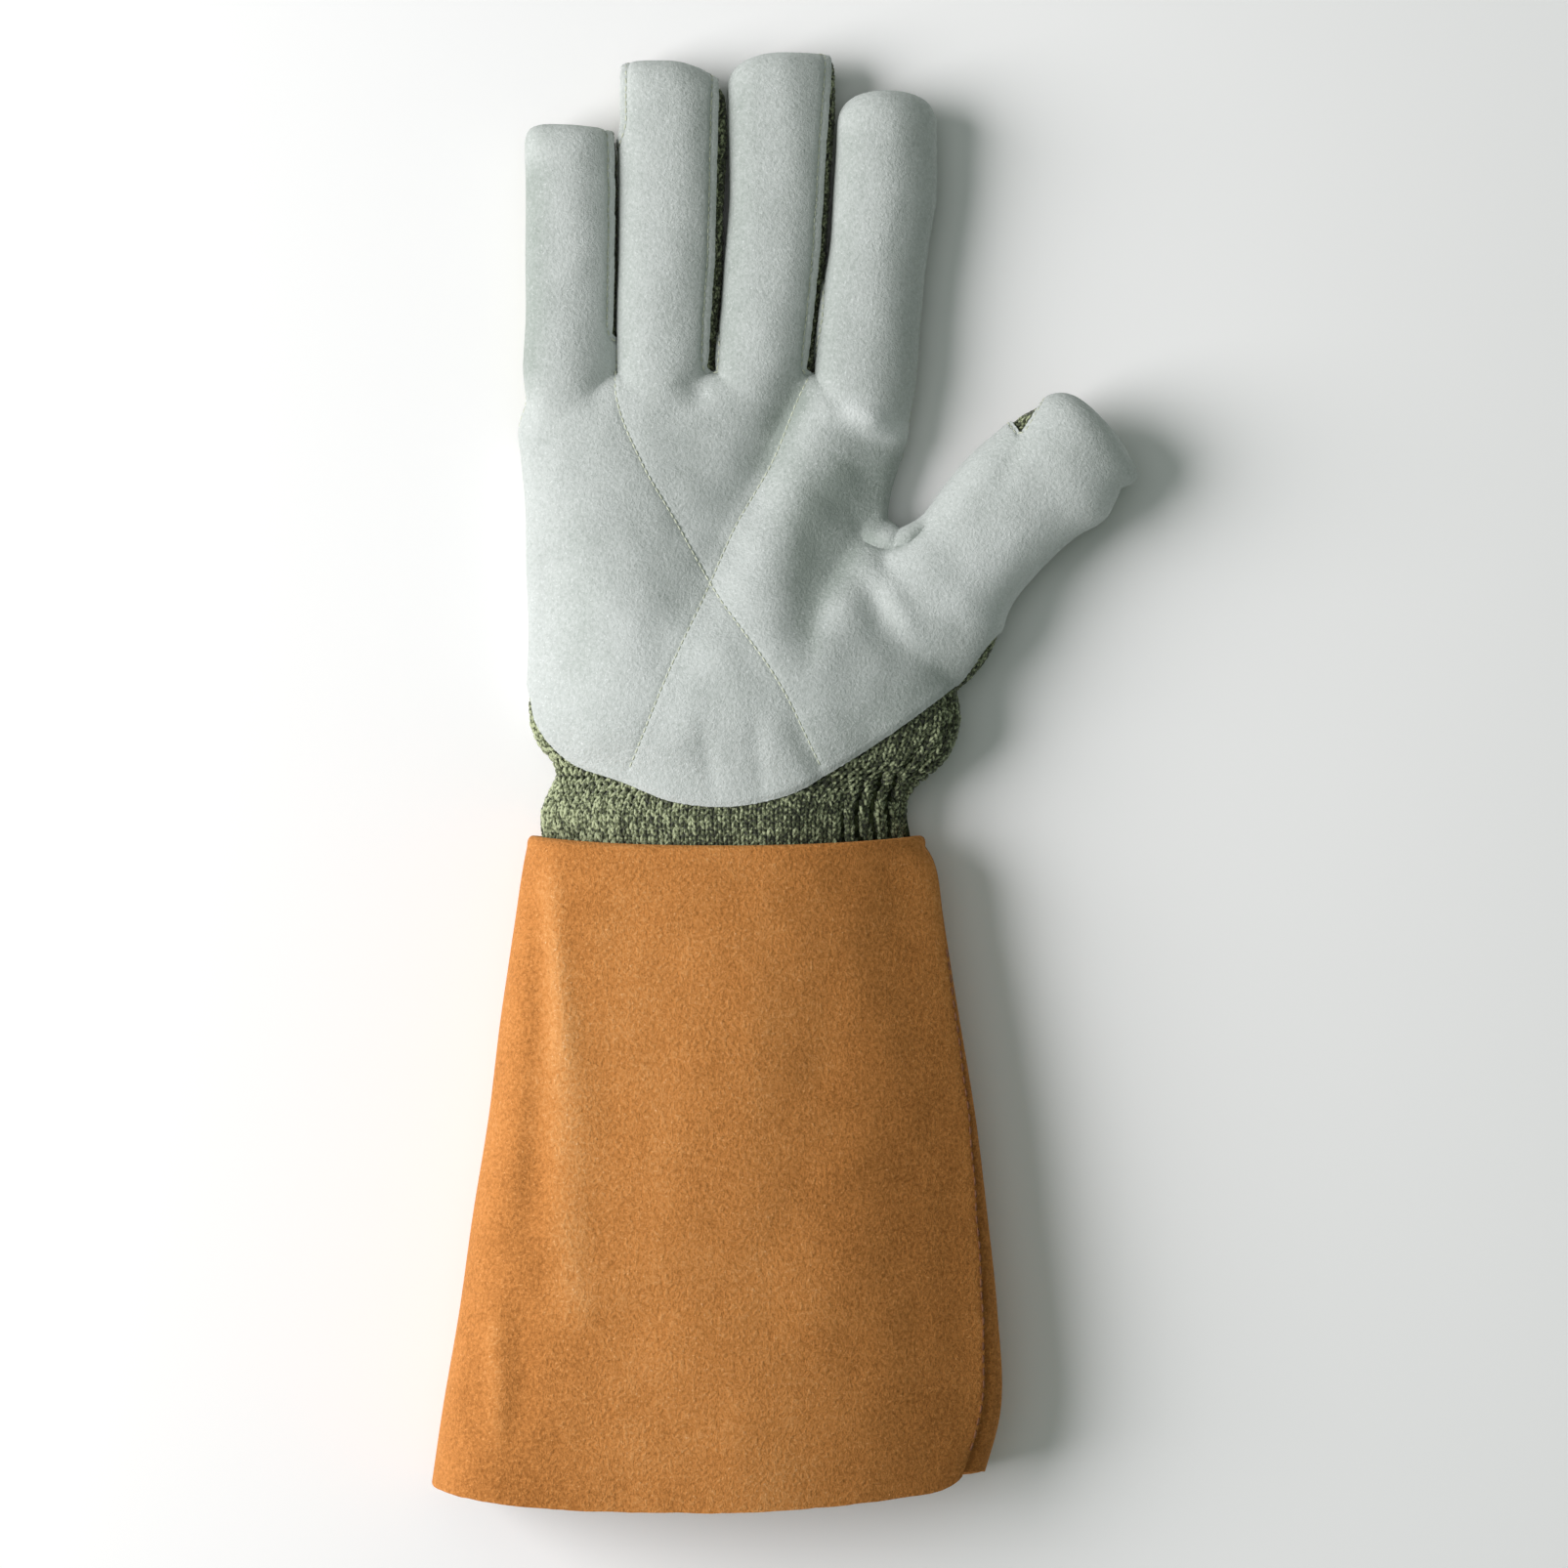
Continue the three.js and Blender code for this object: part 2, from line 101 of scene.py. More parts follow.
# The hand's form is what the knitted hand fills out when it lies empty but still round: a palm
# that narrows to the wrist, four fingers and a thumb. It is blown up from tubes, melted together
# and then creased. The knitted cloth and the palm patch are both laid on it.
WRIST = np.array([-17.37, -21.31, 0.0])  # middle of the cuff's upper edge
WIDEST_AT = 0.42
FLATTENING = 1.18
BODY_RINGS, END_RINGS, TUBE_SIDES = 36, 12, 72  # of a tube and its rounded end
VOXEL = 1.25
SLIMMER = 1.0  # while the tubes are melted together, so that close fingers stay apart

# along, centre, width, height, lift in millimetres from the cuff's edge
PALM_ROWS = [
    (-14, 0, 104, 31.2, 3.6), (0, 0, 107.5, 31.2, 3.6), (9.3, -0.5, 108.6, 29.6, 3.6), (13.6, 0.3, 107.4, 28.7, 3),
    (17.9, 3, 108.3, 28.6, 2.2), (22.2, 6.8, 112.9, 29.4, 1.4), (28.5, 6.2, 122.6, 31.2, 0.5),
    (37.5, 5.8, 127.9, 33, 0), (48, 5, 124.9, 33.6, 0), (64, 1, 116, 32.4, 0), (80.6, -3.4, 108.5, 30.3, 0),
    (99, -5.5, 104.8, 27.3, 0), (110.6, -4.7, 108.5, 24.3, 0), (122.2, -3.6, 113.8, 20.4, 0),
]
FINGER_ROOT = 113.8
FINGER_TIP = 9.0  # length of its rounded end
LAYERS = 1.6  # the patch and the gap under it
# Each finger: height, lift of its tip, how far the knit shows on the patch's right, squareness of
# its tip's left and right corner, slope of its tip, and the outline: place, left and right edge
FINGERS = {
    "little": (18.5, 5, 0.3, 7, 7, -0.06, [
        (113.8, -55, -37), (137, -60.2, -33.2), (157.6, -59.5, -32.8), (175, -59.5, -32.5),
        (192.4, -59.2, -32.3), (212.8, -59.8, -32.5)]),
    "ring": (19.5, 3, 2, 8, 1.8, -0.02, [
        (113.8, -30, -8), (140, -32.4, -4.8), (156, -32.6, -3.9), (173.5, -32.1, -2.7), (191, -32, -2.4),
        (217, -32.4, -1.6), (232, -32.4, -1.4)]),
    "middle": (20, 2, 1.6, 2.3, 12, 0, [
        (113.8, -2, 22), (143, -3.5, 24.8), (156, -1.8, 26.3), (175, -0.4, 28.3), (191, 1, 29.3),
        (204, 0.9, 30), (217, 0.5, 31), (234.5, 0.3, 32.2)]),
    "index": (20, 4, 0, 2.6, 2.8, 0, [
        (113.8, 29, 53.5), (138, 26.3, 57.2), (156, 27, 58.6), (177.9, 30.9, 60.7), (192, 31.8, 63),
        (204, 32.6, 63), (223, 33.2, 62.6)]),
}
# share of the length, share of the height
FINGER_HEIGHTS = [(0, 0.7), (0.08, 0.92), (0.2, 1.04), (0.36, 1), (0.6, 0.99), (0.78, 0.98), (1, 0.94)]
PALM_LENGTH, PALM_TIP = 139, 16.8
THUMB_LENGTH, THUMB_TIP = 88.6, 10.3
THUMB_ROOT, THUMB_HEADING = (47.8, 61.4), math.radians(42.4)
# along, centre, width, height, lift in millimetres from the thumb's root
THUMB_ROWS = [
    (-11.6, 3.6, 32.4, 20.7, 0), (5.7, 4.3, 43.2, 25.8, 0), (15.9, 2.9, 44.6, 26.7, 0.4), (23.1, 1.4, 42.5, 26.2, 1),
    (30, 0, 36, 24.4, 2.1), (43.4, -2.6, 35.2, 22.5, 3.5), (54.6, -3.6, 35.9, 21.9, 4.9),
    (62.7, -3.3, 36.3, 21.4, 5.6), (70.7, -1.8, 37.3, 21.2, 6.3), (79.2, -3, 33.4, 20.7, 7),
]
# the web of cloth between the thumb and the palm
WEB_ROOT, WEB_HEADING = (36, 80.5), math.radians(35)
WEB_ROWS = [(0, 0, 15, 20, 1), (20, 0, 12, 17.5, 1)]


def unit(values):
    return np.clip(values, 0, 1)


def hump(d, reach):
    """1 at no distance, near 0 beyond twice the reach."""
    return np.exp(-((d / reach) ** 2))


def read_rows(rows, at):
    """Reads a table smoothly at some places along its first column."""
    rows = np.array(rows, float)
    s = rows[:, 0]
    at = np.clip(np.asarray(at, float), s[0], s[-1])
    slope = np.gradient(rows, s, axis=0)
    i = np.clip(np.searchsorted(s, at) - 1, 0, len(s) - 2)
    h = (s[i + 1] - s[i])[:, None]
    t = (at - s[i])[:, None] / h
    return (
        rows[i] * (1 + 2 * t) * (1 - t) ** 2
        + slope[i] * h * t * (1 - t) ** 2
        + rows[i + 1] * t * t * (3 - 2 * t)
        + slope[i + 1] * h * t * t * (t - 1)
    )


def length_one(vectors):
    return vectors / np.linalg.norm(vectors, axis=-1, keepdims=True)


def oval(angles, half, height, roundness, offset=0.0):
    """Places across and up round some ovals that rest on flat undersides, grown by an offset."""
    cos, sin = np.cos(angles), np.sin(angles)
    power = 2 / np.where(cos < 0, *roundness)
    middle = height * WIDEST_AT
    upper = middle + (height - middle + offset) * np.abs(sin) ** power
    lower = np.maximum(-offset, middle - (middle + offset) * FLATTENING * np.abs(sin) ** power)
    return (half + offset) * np.sign(cos) * np.abs(cos) ** power, np.where(sin >= 0, upper, lower)


class Limb:
    """A tube of rounded ovals along a straight line, with one rounded end."""

    def __init__(self, name, root, heading, rows, length, tip, corners=(3.2, 3.2), slope=0.0, roundness=(2.3, 2.3)):
        self.name, self.root, self.rows = name, np.array(root), rows
        self.length, self.tip, self.corners, self.slope, self.roundness = length, tip, corners, slope, roundness
        self.run = np.array([math.cos(heading), math.sin(heading)])
        self.side = np.array([math.sin(heading), -math.cos(heading)])

    def rings(self, at, angles):
        """Points of the ovals at the places at and the angles, as an array (at, angle, xyz)."""
        at = np.asarray(at, float)
        row = read_rows(self.rows, at)
        centre, width, height, lift = row[:, 1], row[:, 2], row[:, 3].copy(), row[:, 4].copy()
        into = unit((at - (self.length - self.tip)) / self.tip)
        left, right = ((1 - into**c) ** (1 / c) for c in self.corners)
        lower = np.where(into > 0, 0.25 + 0.75 * (1 - into**2.6) ** (1 / 2.6), 1)
        lift += (1 - lower) * height * WIDEST_AT
        height *= lower
        half = width[:, None] / 2 * np.where(np.cos(angles) < 0, left[:, None], right[:, None])
        across, up = oval(angles, half, height[:, None], self.roundness)
        along = at[:, None] + self.slope * across * unit(into * 2)[:, None]
        across = across + centre[:, None]
        plan = self.root + along[:, :, None] * self.run + across[:, :, None] * self.side
        return np.concatenate([plan, (up + lift[:, None])[:, :, None]], axis=2)

    def local(self, points):
        """Places along and across the limb of some points, and its half width there."""
        offset = points[:, :2] - self.root
        along, across = offset @ self.run, offset @ self.side
        row = read_rows(self.rows, along)
        return along, across - row[:, 1], row[:, 2] / 2


limbs = [Limb("palm", (0, 0), math.pi / 2, PALM_ROWS, PALM_LENGTH, PALM_TIP)]
for name, (height, lift, shows, left_corner, right_corner, slope, outline) in FINGERS.items():
    length = outline[-1][0] - LAYERS - FINGER_ROOT
    rows = []
    for y, left, right in outline:
        left += LAYERS
        right += shows * unit((outline[-1][0] - y) / 12) if shows else -LAYERS
        s = y - FINGER_ROOT
        share = s / length
        tall = np.interp(share, *zip(*FINGER_HEIGHTS)) * height
        rows.append((s, (left + right) / 2, right - left, tall, lift * share * share))
    corners, roundness = (left_corner, right_corner), (2.8, 1.7 if name == "index" else 1.8)
    limbs.append(Limb(name, (0, FINGER_ROOT), math.pi / 2, rows, length, FINGER_TIP, corners, slope, roundness))
limbs.append(Limb("thumb", THUMB_ROOT, THUMB_HEADING, THUMB_ROWS, THUMB_LENGTH, THUMB_TIP, roundness=(2.4, 2.0)))
palm, fingers, thumb = limbs[0], limbs[1:5], limbs[5]
limbs.append(Limb("web", WEB_ROOT, WEB_HEADING, WEB_ROWS, 19.0, 5))


def read_points(piece, what="co"):
    values = np.empty(len(piece.data.vertices) * 3)
    piece.data.vertices.foreach_get(what, values)
    return values.reshape(-1, 3)


def points_of(piece):
    """A piece's points in millimetres from the wrist."""
    return read_points(piece) / MM - WRIST


def set_points(piece, points):
    piece.data.vertices.foreach_set("co", ((points + WRIST) * MM).ravel())
    piece.data.update()


def mend(merge=True, fill=False, outward=False):
    """Joins the active piece's doubled points, closes its holes, turns its faces outward."""
    bpy.ops.object.mode_set(mode="EDIT")
    bpy.ops.mesh.select_all(action="SELECT")
    if merge:
        bpy.ops.mesh.remove_doubles(threshold=1e-6)
    if fill:
        bpy.ops.mesh.fill_holes(sides=0)
    if outward:
        bpy.ops.mesh.normals_make_consistent(inside=False)
    bpy.ops.object.mode_set(mode="OBJECT")


def rolled_grid(name, rings):
    """A grid for a tube through rings of points, and its points, the first column once more."""
    bpy.ops.object.select_all(action="DESELECT")
    bpy.ops.mesh.primitive_grid_add(x_subdivisions=rings.shape[1], y_subdivisions=len(rings) - 1, size=1)
    bpy.context.object.name = name
    return bpy.context.object, np.concatenate([rings, rings[:, :1]], axis=1).reshape(-1, 3)


def apply_modifier(piece, kind, **settings):
    """Adds a modifier and applies it at once."""
    bpy.context.view_layer.objects.active = piece
    modifier = piece.modifiers.new(kind.lower(), kind)
    for key, value in settings.items():
        setattr(modifier, key, value)
    bpy.ops.object.modifier_apply(modifier=modifier.name)


def push(piece, out):
    """Moves a piece's surface out by some millimetres."""
    apply_modifier(piece, "DISPLACE", strength=out * MM, mid_level=0.0, direction="NORMAL")


def choose(*pieces):
    """Selects these pieces alone and makes the first one active."""
    bpy.ops.object.select_all(action="DESELECT")
    for piece in pieces:
        piece.select_set(True)
    bpy.context.view_layer.objects.active = pieces[0]


def join(name, pieces):
    """Joins pieces into one."""
    choose(*pieces)
    bpy.ops.object.join()
    joint = bpy.context.object
    joint.name = name
    return joint


tubes = []
for limb in limbs:
    body = np.linspace(limb.rows[0][0], limb.length - limb.tip, BODY_RINGS)
    end = limb.length - limb.tip + limb.tip * np.sin(np.linspace(0.12, math.pi / 2 * 0.985, END_RINGS))
    angles = np.linspace(0, 2 * math.pi, TUBE_SIDES, endpoint=False)
    tube, points = rolled_grid(limb.name + "_tube", limb.rings(np.concatenate([body, end]), angles))
    set_points(tube, points)
    mend(fill=True, outward=True)
    push(tube, -SLIMMER)
    tubes.append(tube)
form = join("hand_form", tubes)
apply_modifier(form, "REMESH", mode="VOXEL", voxel_size=VOXEL * MM, adaptivity=0)
apply_modifier(form, "SMOOTH", factor=0.5, iterations=6)
push(form, SLIMMER)
apply_modifier(form, "SMOOTH", factor=0.4, iterations=2)


def weigh(piece, name, weights):
    """A vertex group of the points whose weight is over zero."""
    group = piece.vertex_groups.new(name=name)
    for i in np.nonzero(weights > 0)[0]:
        group.add([int(i)], float(weights[i]), "REPLACE")


def soft_noise(points, waves, finer_waves, share):
    """Soft noise at some points, in waves to the millimetre, with a share of a finer one."""
    return np.array([noise.noise(p * waves) + share * noise.noise(p * finer_waves) for p in points])


def line_distance(points, line, signed=False):
    """Distance of points to a line in plan, over zero on its right, and the share of it passed."""
    line = np.array(line, float)
    best = np.full(len(points), 1e9)
    hand = np.ones(len(points))
    share = np.zeros(len(points))
    for k, (a, b) in enumerate(zip(line[:-1], line[1:])):
        run = b - a
        off = points[:, :2] - a
        t = unit((off @ run) / (run @ run))
        d = np.hypot(off[:, 0] - t * run[0], off[:, 1] - t * run[1])
        closer = d < best
        best[closer] = d[closer]
        share[closer] = (k + t[closer]) / (len(line) - 1)
        if signed:
            hand[closer] = np.sign(run[1] * off[closer, 0] - run[0] * off[closer, 1])
    return best * hand, share


def passed(points):
    """The way passed along a line at each of its points."""
    return np.concatenate([[0], np.cumsum(np.linalg.norm(np.diff(points, axis=0), axis=1))])


def smooth_line(points):
    """A smooth line through a few points, in LINE_STEPS from one to the next."""
    s = passed(points)
    at = np.linspace(0, s[-1], LINE_STEPS * (len(points) - 1) + 1)
    return read_rows(np.column_stack([s, points]), at)[:, 1:]


# Topstitching crosses the palm in two lines.
TOPSTITCH = [
    [(-32.2, 147), (-32.3, 133.2), (-25, 113.3), (-14.4, 94.8), (-2.4, 73.6), (16.1, 47), (28, 23.2)],
    [(24.7, 138), (22.7, 134), (14.1, 113.3), (2.9, 93.4), (-5.1, 74.9), (-16.5, 50), (-27.8, 22.5)],
]
# Creases and rolls of the palm, each a line in plan: place, width to its left and right as it
# runs, or one for both, and height (under zero is a hollow)
CREASES = {
    "thumb_hollow": [
        (59, 126, 10, 14, 0), (55, 116, 10, 16, -4), (49, 106, 9, 18.5, -8), (40.5, 95, 7, 19, -9),
        (32, 82, 7, 16.5, -7.5), (26, 70, 6.5, 12, -5.4), (24, 59, 5.5, 8, -3.2), (24.5, 49, 4, 0),
    ],
    "heel": [
        (10, 72, 30, 34, 0), (14, 52, 34, 40, 3.2), (16, 34, 34, 42, 3.6), (18, 14, 34, 40, 3), (18, 0, 30, 34, 0),
    ],
    "index_pad": [
        (27, 128.5, 3, 0), (35, 127, 3.2, 3.4, 2.2), (43, 125, 3.2, 3.4, 4.8), (51, 121.5, 3.2, 3.4, 3.6),
        (58, 118, 3, 0),
    ],
    "seam_b": [
        (24.7, 144, 5, 0), (20, 131, 7, -5), (14.5, 120, 8, 7.5, -5.2), (9.5, 107, 8, 9, -3.2),
        (2.9, 93.4, 8, 9, -2), (-5.1, 74.9, 8, -1.4), (-16, 51, 6, 7, -0.8), (-27.6, 20, 5, -0.3),
    ],
    "cup": [
        (15, 132, 12, 14, 0), (10, 119, 16, 21, -4.5), (4, 107, 19, 24, -7.5), (-2, 94, 18, 25, -8),
        (-8, 80, 15, 22, -5.5), (-15, 62, 11, 14, -1.5), (-20, 48, 8, 10, 0),
    ],
    "seam_a": [
        (-32.2, 146, 4, -0.6), (-31, 130, 4, -0.5), (-24, 111.5, 4, -0.4), (-14.4, 94.8, 5, -0.5),
        (-2.4, 73.6, 7, -0.9), (16.1, 47, 7, -0.9), (27.5, 24, 5, -0.7),
    ],
    "wrist_left": [(-50, 34, 22, 8, 0), (-50, 16, 24, 8, -4), (-50, 0, 26, 8, -7), (-50, -30, 26, 8, -7)],
    "wrist_right": [(52, 34, 8, 22, 0), (52, 16, 8, 24, -5), (52, 0, 8, 28, -9), (52, -30, 8, 28, -9)],
    "little_side": [
        (-54, 134, 14, 8, 0), (-58, 112, 16, 8, -1.5), (-58, 96, 16, 8, -3.5), (-58, 76, 18, 8, -6.5),
        (-56, 46, 18, 8, -6.5), (-50, 24, 16, 8, -3), (-46, 10, 14, 8, 0),
    ],
    "thumb_fold": [(36, 81, 4, 0), (39.8, 75.5, 4, -0.7), (43.4, 67, 4, -1.15), (47.5, 57, 4, 0)],
    "thumb_ridge": [
        (39.5, 85, 3, 0), (44.5, 79.5, 3.2, 1.2), (50, 71.5, 3.4, 1.5), (54.5, 63.5, 3.6, 1.2), (58, 56, 4, 0),
    ],
    "bead": [
        (40.5, 91, 2, 0), (43.5, 91, 2.2, 1.8), (47.5, 90.6, 2.3, 2.7), (52, 91.4, 2.3, 2.5), (56, 93.4, 2.2, 1.5),
        (60, 96, 2, 0.3),
    ],
    "bead_crack": [
        (40.5, 89.2, 1.1, -0.6), (44.5, 87.3, 1.2, -2.2), (49.3, 86.6, 1.2, -2.8), (53.6, 87.8, 1.2, -2.8),
        (57.4, 90.8, 1.2, -2.6), (61, 94.5, 1.2, -0.8),
    ],
    "ring_root": [(-4.4, 138, 4, 5, -1.5), (-7.6, 133.6, 4, 6, -2.4), (-12, 129, 4, 5, -0.5)],
    "middle_root": [(24, 143, 4, 5, -1), (19.5, 131, 5, 6, -2), (13, 119, 4, 5, -0.4)],
    "little_root": [(-33, 147, 4, 5, -1), (-36.5, 134, 4, 6, -0.9), (-41, 125, 4, 5, -0.3)],
    "heel_fold_1": [
        (-6.4, 38, 1.8, 2.4, -0.1), (-5.4, 30, 2.8, 3.4, -0.7), (-3.8, 20, 2.8, 3.4, -0.7), (-3, 14, 1.8, 2.4, -0.2),
    ],
    "heel_fold_2": [
        (8.6, 38, 1.8, 2.4, -0.1), (9.6, 30, 2.8, 3.4, -0.7), (10.8, 20, 2.8, 3.4, -0.7), (11.4, 14, 1.8, 2.4, -0.2),
    ],
    "heel_fold_3": [(18.5, 40, 2.4, 3, -0.1), (22.4, 31, 2.4, 3, -0.9), (26.7, 23, 2.4, 3, -1.1), (29, 18, 2, -0.3)],
    "thumb_pad": [(88, 121, 3, -0.4), (84.5, 112, 3, -0.9), (80, 104, 3, -0.2)],
}
GATHER_PITCH = 4.7  # ribs that the wrist's cloth is drawn into on the thumb's side
GATHER_DEPTH = 0.6
CREASE_REACH = 110  # beyond which a crease moves nothing
LINE_STEPS = 8
UNEVENNESS = 0.8
# Bulges of the thumb's outline: place, reach, how far out. Its tip's corner has a nick below it.
THUMB_BULGES = [(85.5, 127.5, 5, 1.6), (119, 109.2, 2.6, 2.2), (117, 105.8, 1.6, -1)]


def crease_depth(points):
    """How far the creases and rolls move the upper side of the hand."""
    depth = np.zeros(len(points))
    for rows in CREASES.values():
        rows = np.array([(x, y, wide[0], wide[-1], height) for x, y, *wide, height in rows])
        line = smooth_line(rows[:, :2])
        low, high = line.min(axis=0) - CREASE_REACH, line.max(axis=0) + CREASE_REACH
        near = np.all((points[:, :2] > low) & (points[:, :2] < high), axis=1)
        d, share = line_distance(points[near], line, signed=True)
        at = share * (len(line) - 1) / LINE_STEPS
        left, right, height = (np.interp(at, np.arange(len(rows)), rows[:, k]) for k in (2, 3, 4))
        depth[near] += height * hump(d, np.where(d < 0, left, right))
    return depth


# the thumb's base and the fingers' roots are smoothed where the tubes were melted together
points, normals = points_of(form), read_points(form, "normal")
x, y = points[:, 0], points[:, 1]
joined = np.maximum(hump(np.hypot(x - 56, y - 70), 18), 0.7 * hump(y - 124, 8) * (x < 30))
joined *= unit(normals[:, 2] * 1.3) ** 2
weigh(form, "joined", np.where(joined > 0.03, joined, 0))
apply_modifier(form, "SMOOTH", factor=0.6, iterations=80, vertex_group="joined")
points, normals = points_of(form), read_points(form, "normal")
x, y = points[:, 0].copy(), points[:, 1].copy()
upper = unit(points[:, 2] / 22) * unit(1 + 1.5 * normals[:, 2])
soft = soft_noise(points, 0.045, 0.11, 0.5)
lowest = np.minimum(points[:, 2], 4.0)
wrist_edge = np.interp(y, [-5, 10, 20, 30, 40, 50], [57, 55, 57.5, 66, 70.5, 70])
from_edge = wrist_edge - x
gathers = unit(from_edge / 3) * unit((27 - from_edge) / 9)
gathers *= unit((np.interp(x, [20, 36, 54, 70], [9.5, 17, 28.5, 43]) - y) / 4)
gathers *= GATHER_DEPTH * np.cos(2 * math.pi * from_edge / GATHER_PITCH)
points[:, 2] += (crease_depth(points) + UNEVENNESS * soft + gathers) * upper
points[:, 2] = np.maximum(points[:, 2], lowest)
for across, along, reach, out in THUMB_BULGES:
    points[:, :2] += out * hump(np.hypot(x - across, y - along), reach)[:, None] * normals[:, :2]
set_points(form, points)
apply_modifier(form, "SMOOTH", factor=0.4, iterations=2)

# The seamless knitted glove: plain knit of thick yarn, two plies of dark olive and pale green
# twisted together, knitted as one piece with its fingers and thumb. Under the stitches lies the
# closed back of the cloth, and its wrist is pushed down into the cuff.
YARN_DARK = (0.018, 0.022, 0.010)
YARN_MID = (0.10, 0.12, 0.055)
YARN_PALE = (0.46, 0.51, 0.31)
WALE = 2.75
COURSE = 1.95
YARN_RADIUS = 0.62
STITCH_SIDES = 4
SNAP = 0.12  # a point as near as this to a cut is moved onto it
WRIST_IN_CUFF = 12.0
CLOTH_UNDER_FORM = 0.95
CLOTH_WALL = 0.85


def node(tree, kind, **inputs):
    """Adds a node and sets its named inputs."""
    made = tree.nodes.new(kind)
    set_inputs(made, inputs)
    return made


def object_place(tree):
    return tree.nodes.new("ShaderNodeTexCoord").outputs["Object"]


def noise_field(tree, scale, detail, roughness):
    """Noise on object coordinates, scale in waves to the metre."""
    field = node(tree, "ShaderNodeTexNoise", Scale=scale, Detail=detail, Roughness=roughness)
    tree.links.new(object_place(tree), field.inputs["Vector"])
    return field.outputs["Fac"]


def ramp(tree, value, stops):
    """A colour ramp over a value."""
    made = tree.nodes.new("ShaderNodeValToRGB")
    elements = made.color_ramp.elements
    while len(elements) < len(stops):
        elements.new(0.5)
    for element, (at, colour) in zip(elements, stops):
        element.position = at
        element.color = (*colour, 1)
    tree.links.new(value, made.inputs["Fac"])
    return made.outputs["Color"]


def math_node(tree, kind, a, b):
    """a and b joined by a sum, product or the like."""
    made = tree.nodes.new("ShaderNodeMath")
    made.operation = kind
    for socket, value in zip(made.inputs, (a, b)):
        if isinstance(value, (int, float)):
            socket.default_value = value
        else:
            tree.links.new(value, socket)
    return made.outputs[0]


def bump(tree, height, strength, distance, under=None):
    """A bump of a height field, over another bump if there is one."""
    made = node(tree, "ShaderNodeBump", Strength=strength, Distance=distance)
    tree.links.new(height, made.inputs["Height"])
    if under:
        tree.links.new(under, made.inputs["Normal"])
    return made.outputs["Normal"]


def attribute(tree, name):
    made = tree.nodes.new("ShaderNodeAttribute")
    made.attribute_name = name
    return made.outputs["Fac"]


def link_surface(tree, colour, relief):
    surface = tree.nodes["Principled BSDF"]
    tree.links.new(colour, surface.inputs["Base Color"])
    tree.links.new(relief, surface.inputs["Normal"])


yarn, tree = new_material(
    "marled_yarn", Roughness=0.95, Specular_IOR_Level=0.15, Sheen_Weight=0.25, Sheen_Roughness=0.6
)
# the marl attribute also carries a painted highlight on the hand's left side
marl = math_node(tree, "MULTIPLY", attribute(tree, "marl"), 0.26)
blend = math_node(tree, "ADD", noise_field(tree, 1050, 1.0, 0.6), marl)
colour = ramp(tree, blend, [(0.44, YARN_DARK), (0.64, YARN_MID), (0.84, YARN_PALE)])
link_surface(tree, colour, bump(tree, noise_field(tree, 3800, 2.0, 0.6), 0.6, 0.25 * MM))

cloth_back, tree = new_material("knit_inside", Roughness=1.0, Specular_IOR_Level=0.1)
purl = node(tree, "ShaderNodeTexVoronoi", Scale=420, Randomness=0.55)
tree.links.new(object_place(tree), purl.inputs["Vector"])
colour = ramp(tree, noise_field(tree, 520, 2.0, 0.6), [(0.42, YARN_DARK), (0.62, YARN_MID)])
link_surface(tree, colour, bump(tree, purl.outputs["Distance"], 0.8, 0.6 * MM))


def copy_of(piece, name):
    """A copy of a piece with a mesh of its own."""
    made = piece.copy()
    made.data = piece.data.copy()
    made.name = name
    bpy.context.collection.objects.link(made)
    return made


def dress(piece, material, angle=None):
    """Gives a piece its material and smooth shading, past sharper edges if there is an angle."""
    piece.data.materials.append(material)
    choose(piece)
    if angle is None:
        bpy.ops.object.shade_smooth()
    else:
        bpy.ops.object.shade_smooth_by_angle(angle=math.radians(angle))


def trim(piece, field):
    """Cuts a piece along the line where the field, one value a point, falls to zero."""
    mesh = piece.data
    field = np.where(np.abs(field) < SNAP, 0.0, field)
    bm = bmesh.new()
    bm.from_mesh(mesh)
    bm.verts.ensure_lookup_table()
    share = {}
    for edge in bm.edges:
        a, b = (field[v.index] for v in edge.verts)
        if a * b < 0:
            share[edge] = a / (a - b)
    new_on_line = set()
    faces = {f for e in share for f in e.link_faces}
    for edge, t in share.items():
        _, vert = bmesh.utils.edge_split(edge, edge.verts[0], t)
        new_on_line.add(vert)
    old = [v for v in bm.verts if v not in new_on_line and v.index < len(field)]
    on_line = new_on_line | {v for v in old if field[v.index] == 0.0}
    faces |= {f for v in on_line for f in v.link_faces}
    for face in sorted(faces, key=lambda f: f.index):  # in the same order each run
        cut = [v for v in face.verts if v in on_line]
        if len(cut) == 2 and not any(set(e.verts) == set(cut) for e in face.edges):
            bmesh.utils.face_split(face, cut[0], cut[1])
    gone = []
    for face in bm.faces:
        rest = [field[v.index] for v in face.verts if v not in new_on_line and v.index < len(field)]
        if sum(rest) < 0:
            gone.append(face)
    bmesh.ops.delete(bm, geom=gone, context="FACES")
    bmesh.ops.remove_doubles(bm, verts=bm.verts, dist=SNAP * MM)
    bm.to_mesh(mesh)
    bm.free()
    mesh.update()


knit_back = copy_of(form, "knit_cloth")
trim(knit_back, points_of(knit_back)[:, 1] + WRIST_IN_CUFF)
apply_modifier(knit_back, "DECIMATE", ratio=0.6)
push(knit_back, -CLOTH_UNDER_FORM)
apply_modifier(knit_back, "SOLIDIFY", thickness=CLOTH_WALL * MM, offset=-1, use_rim=True)
dress(knit_back, cloth_back)
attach(knit_back, "root")

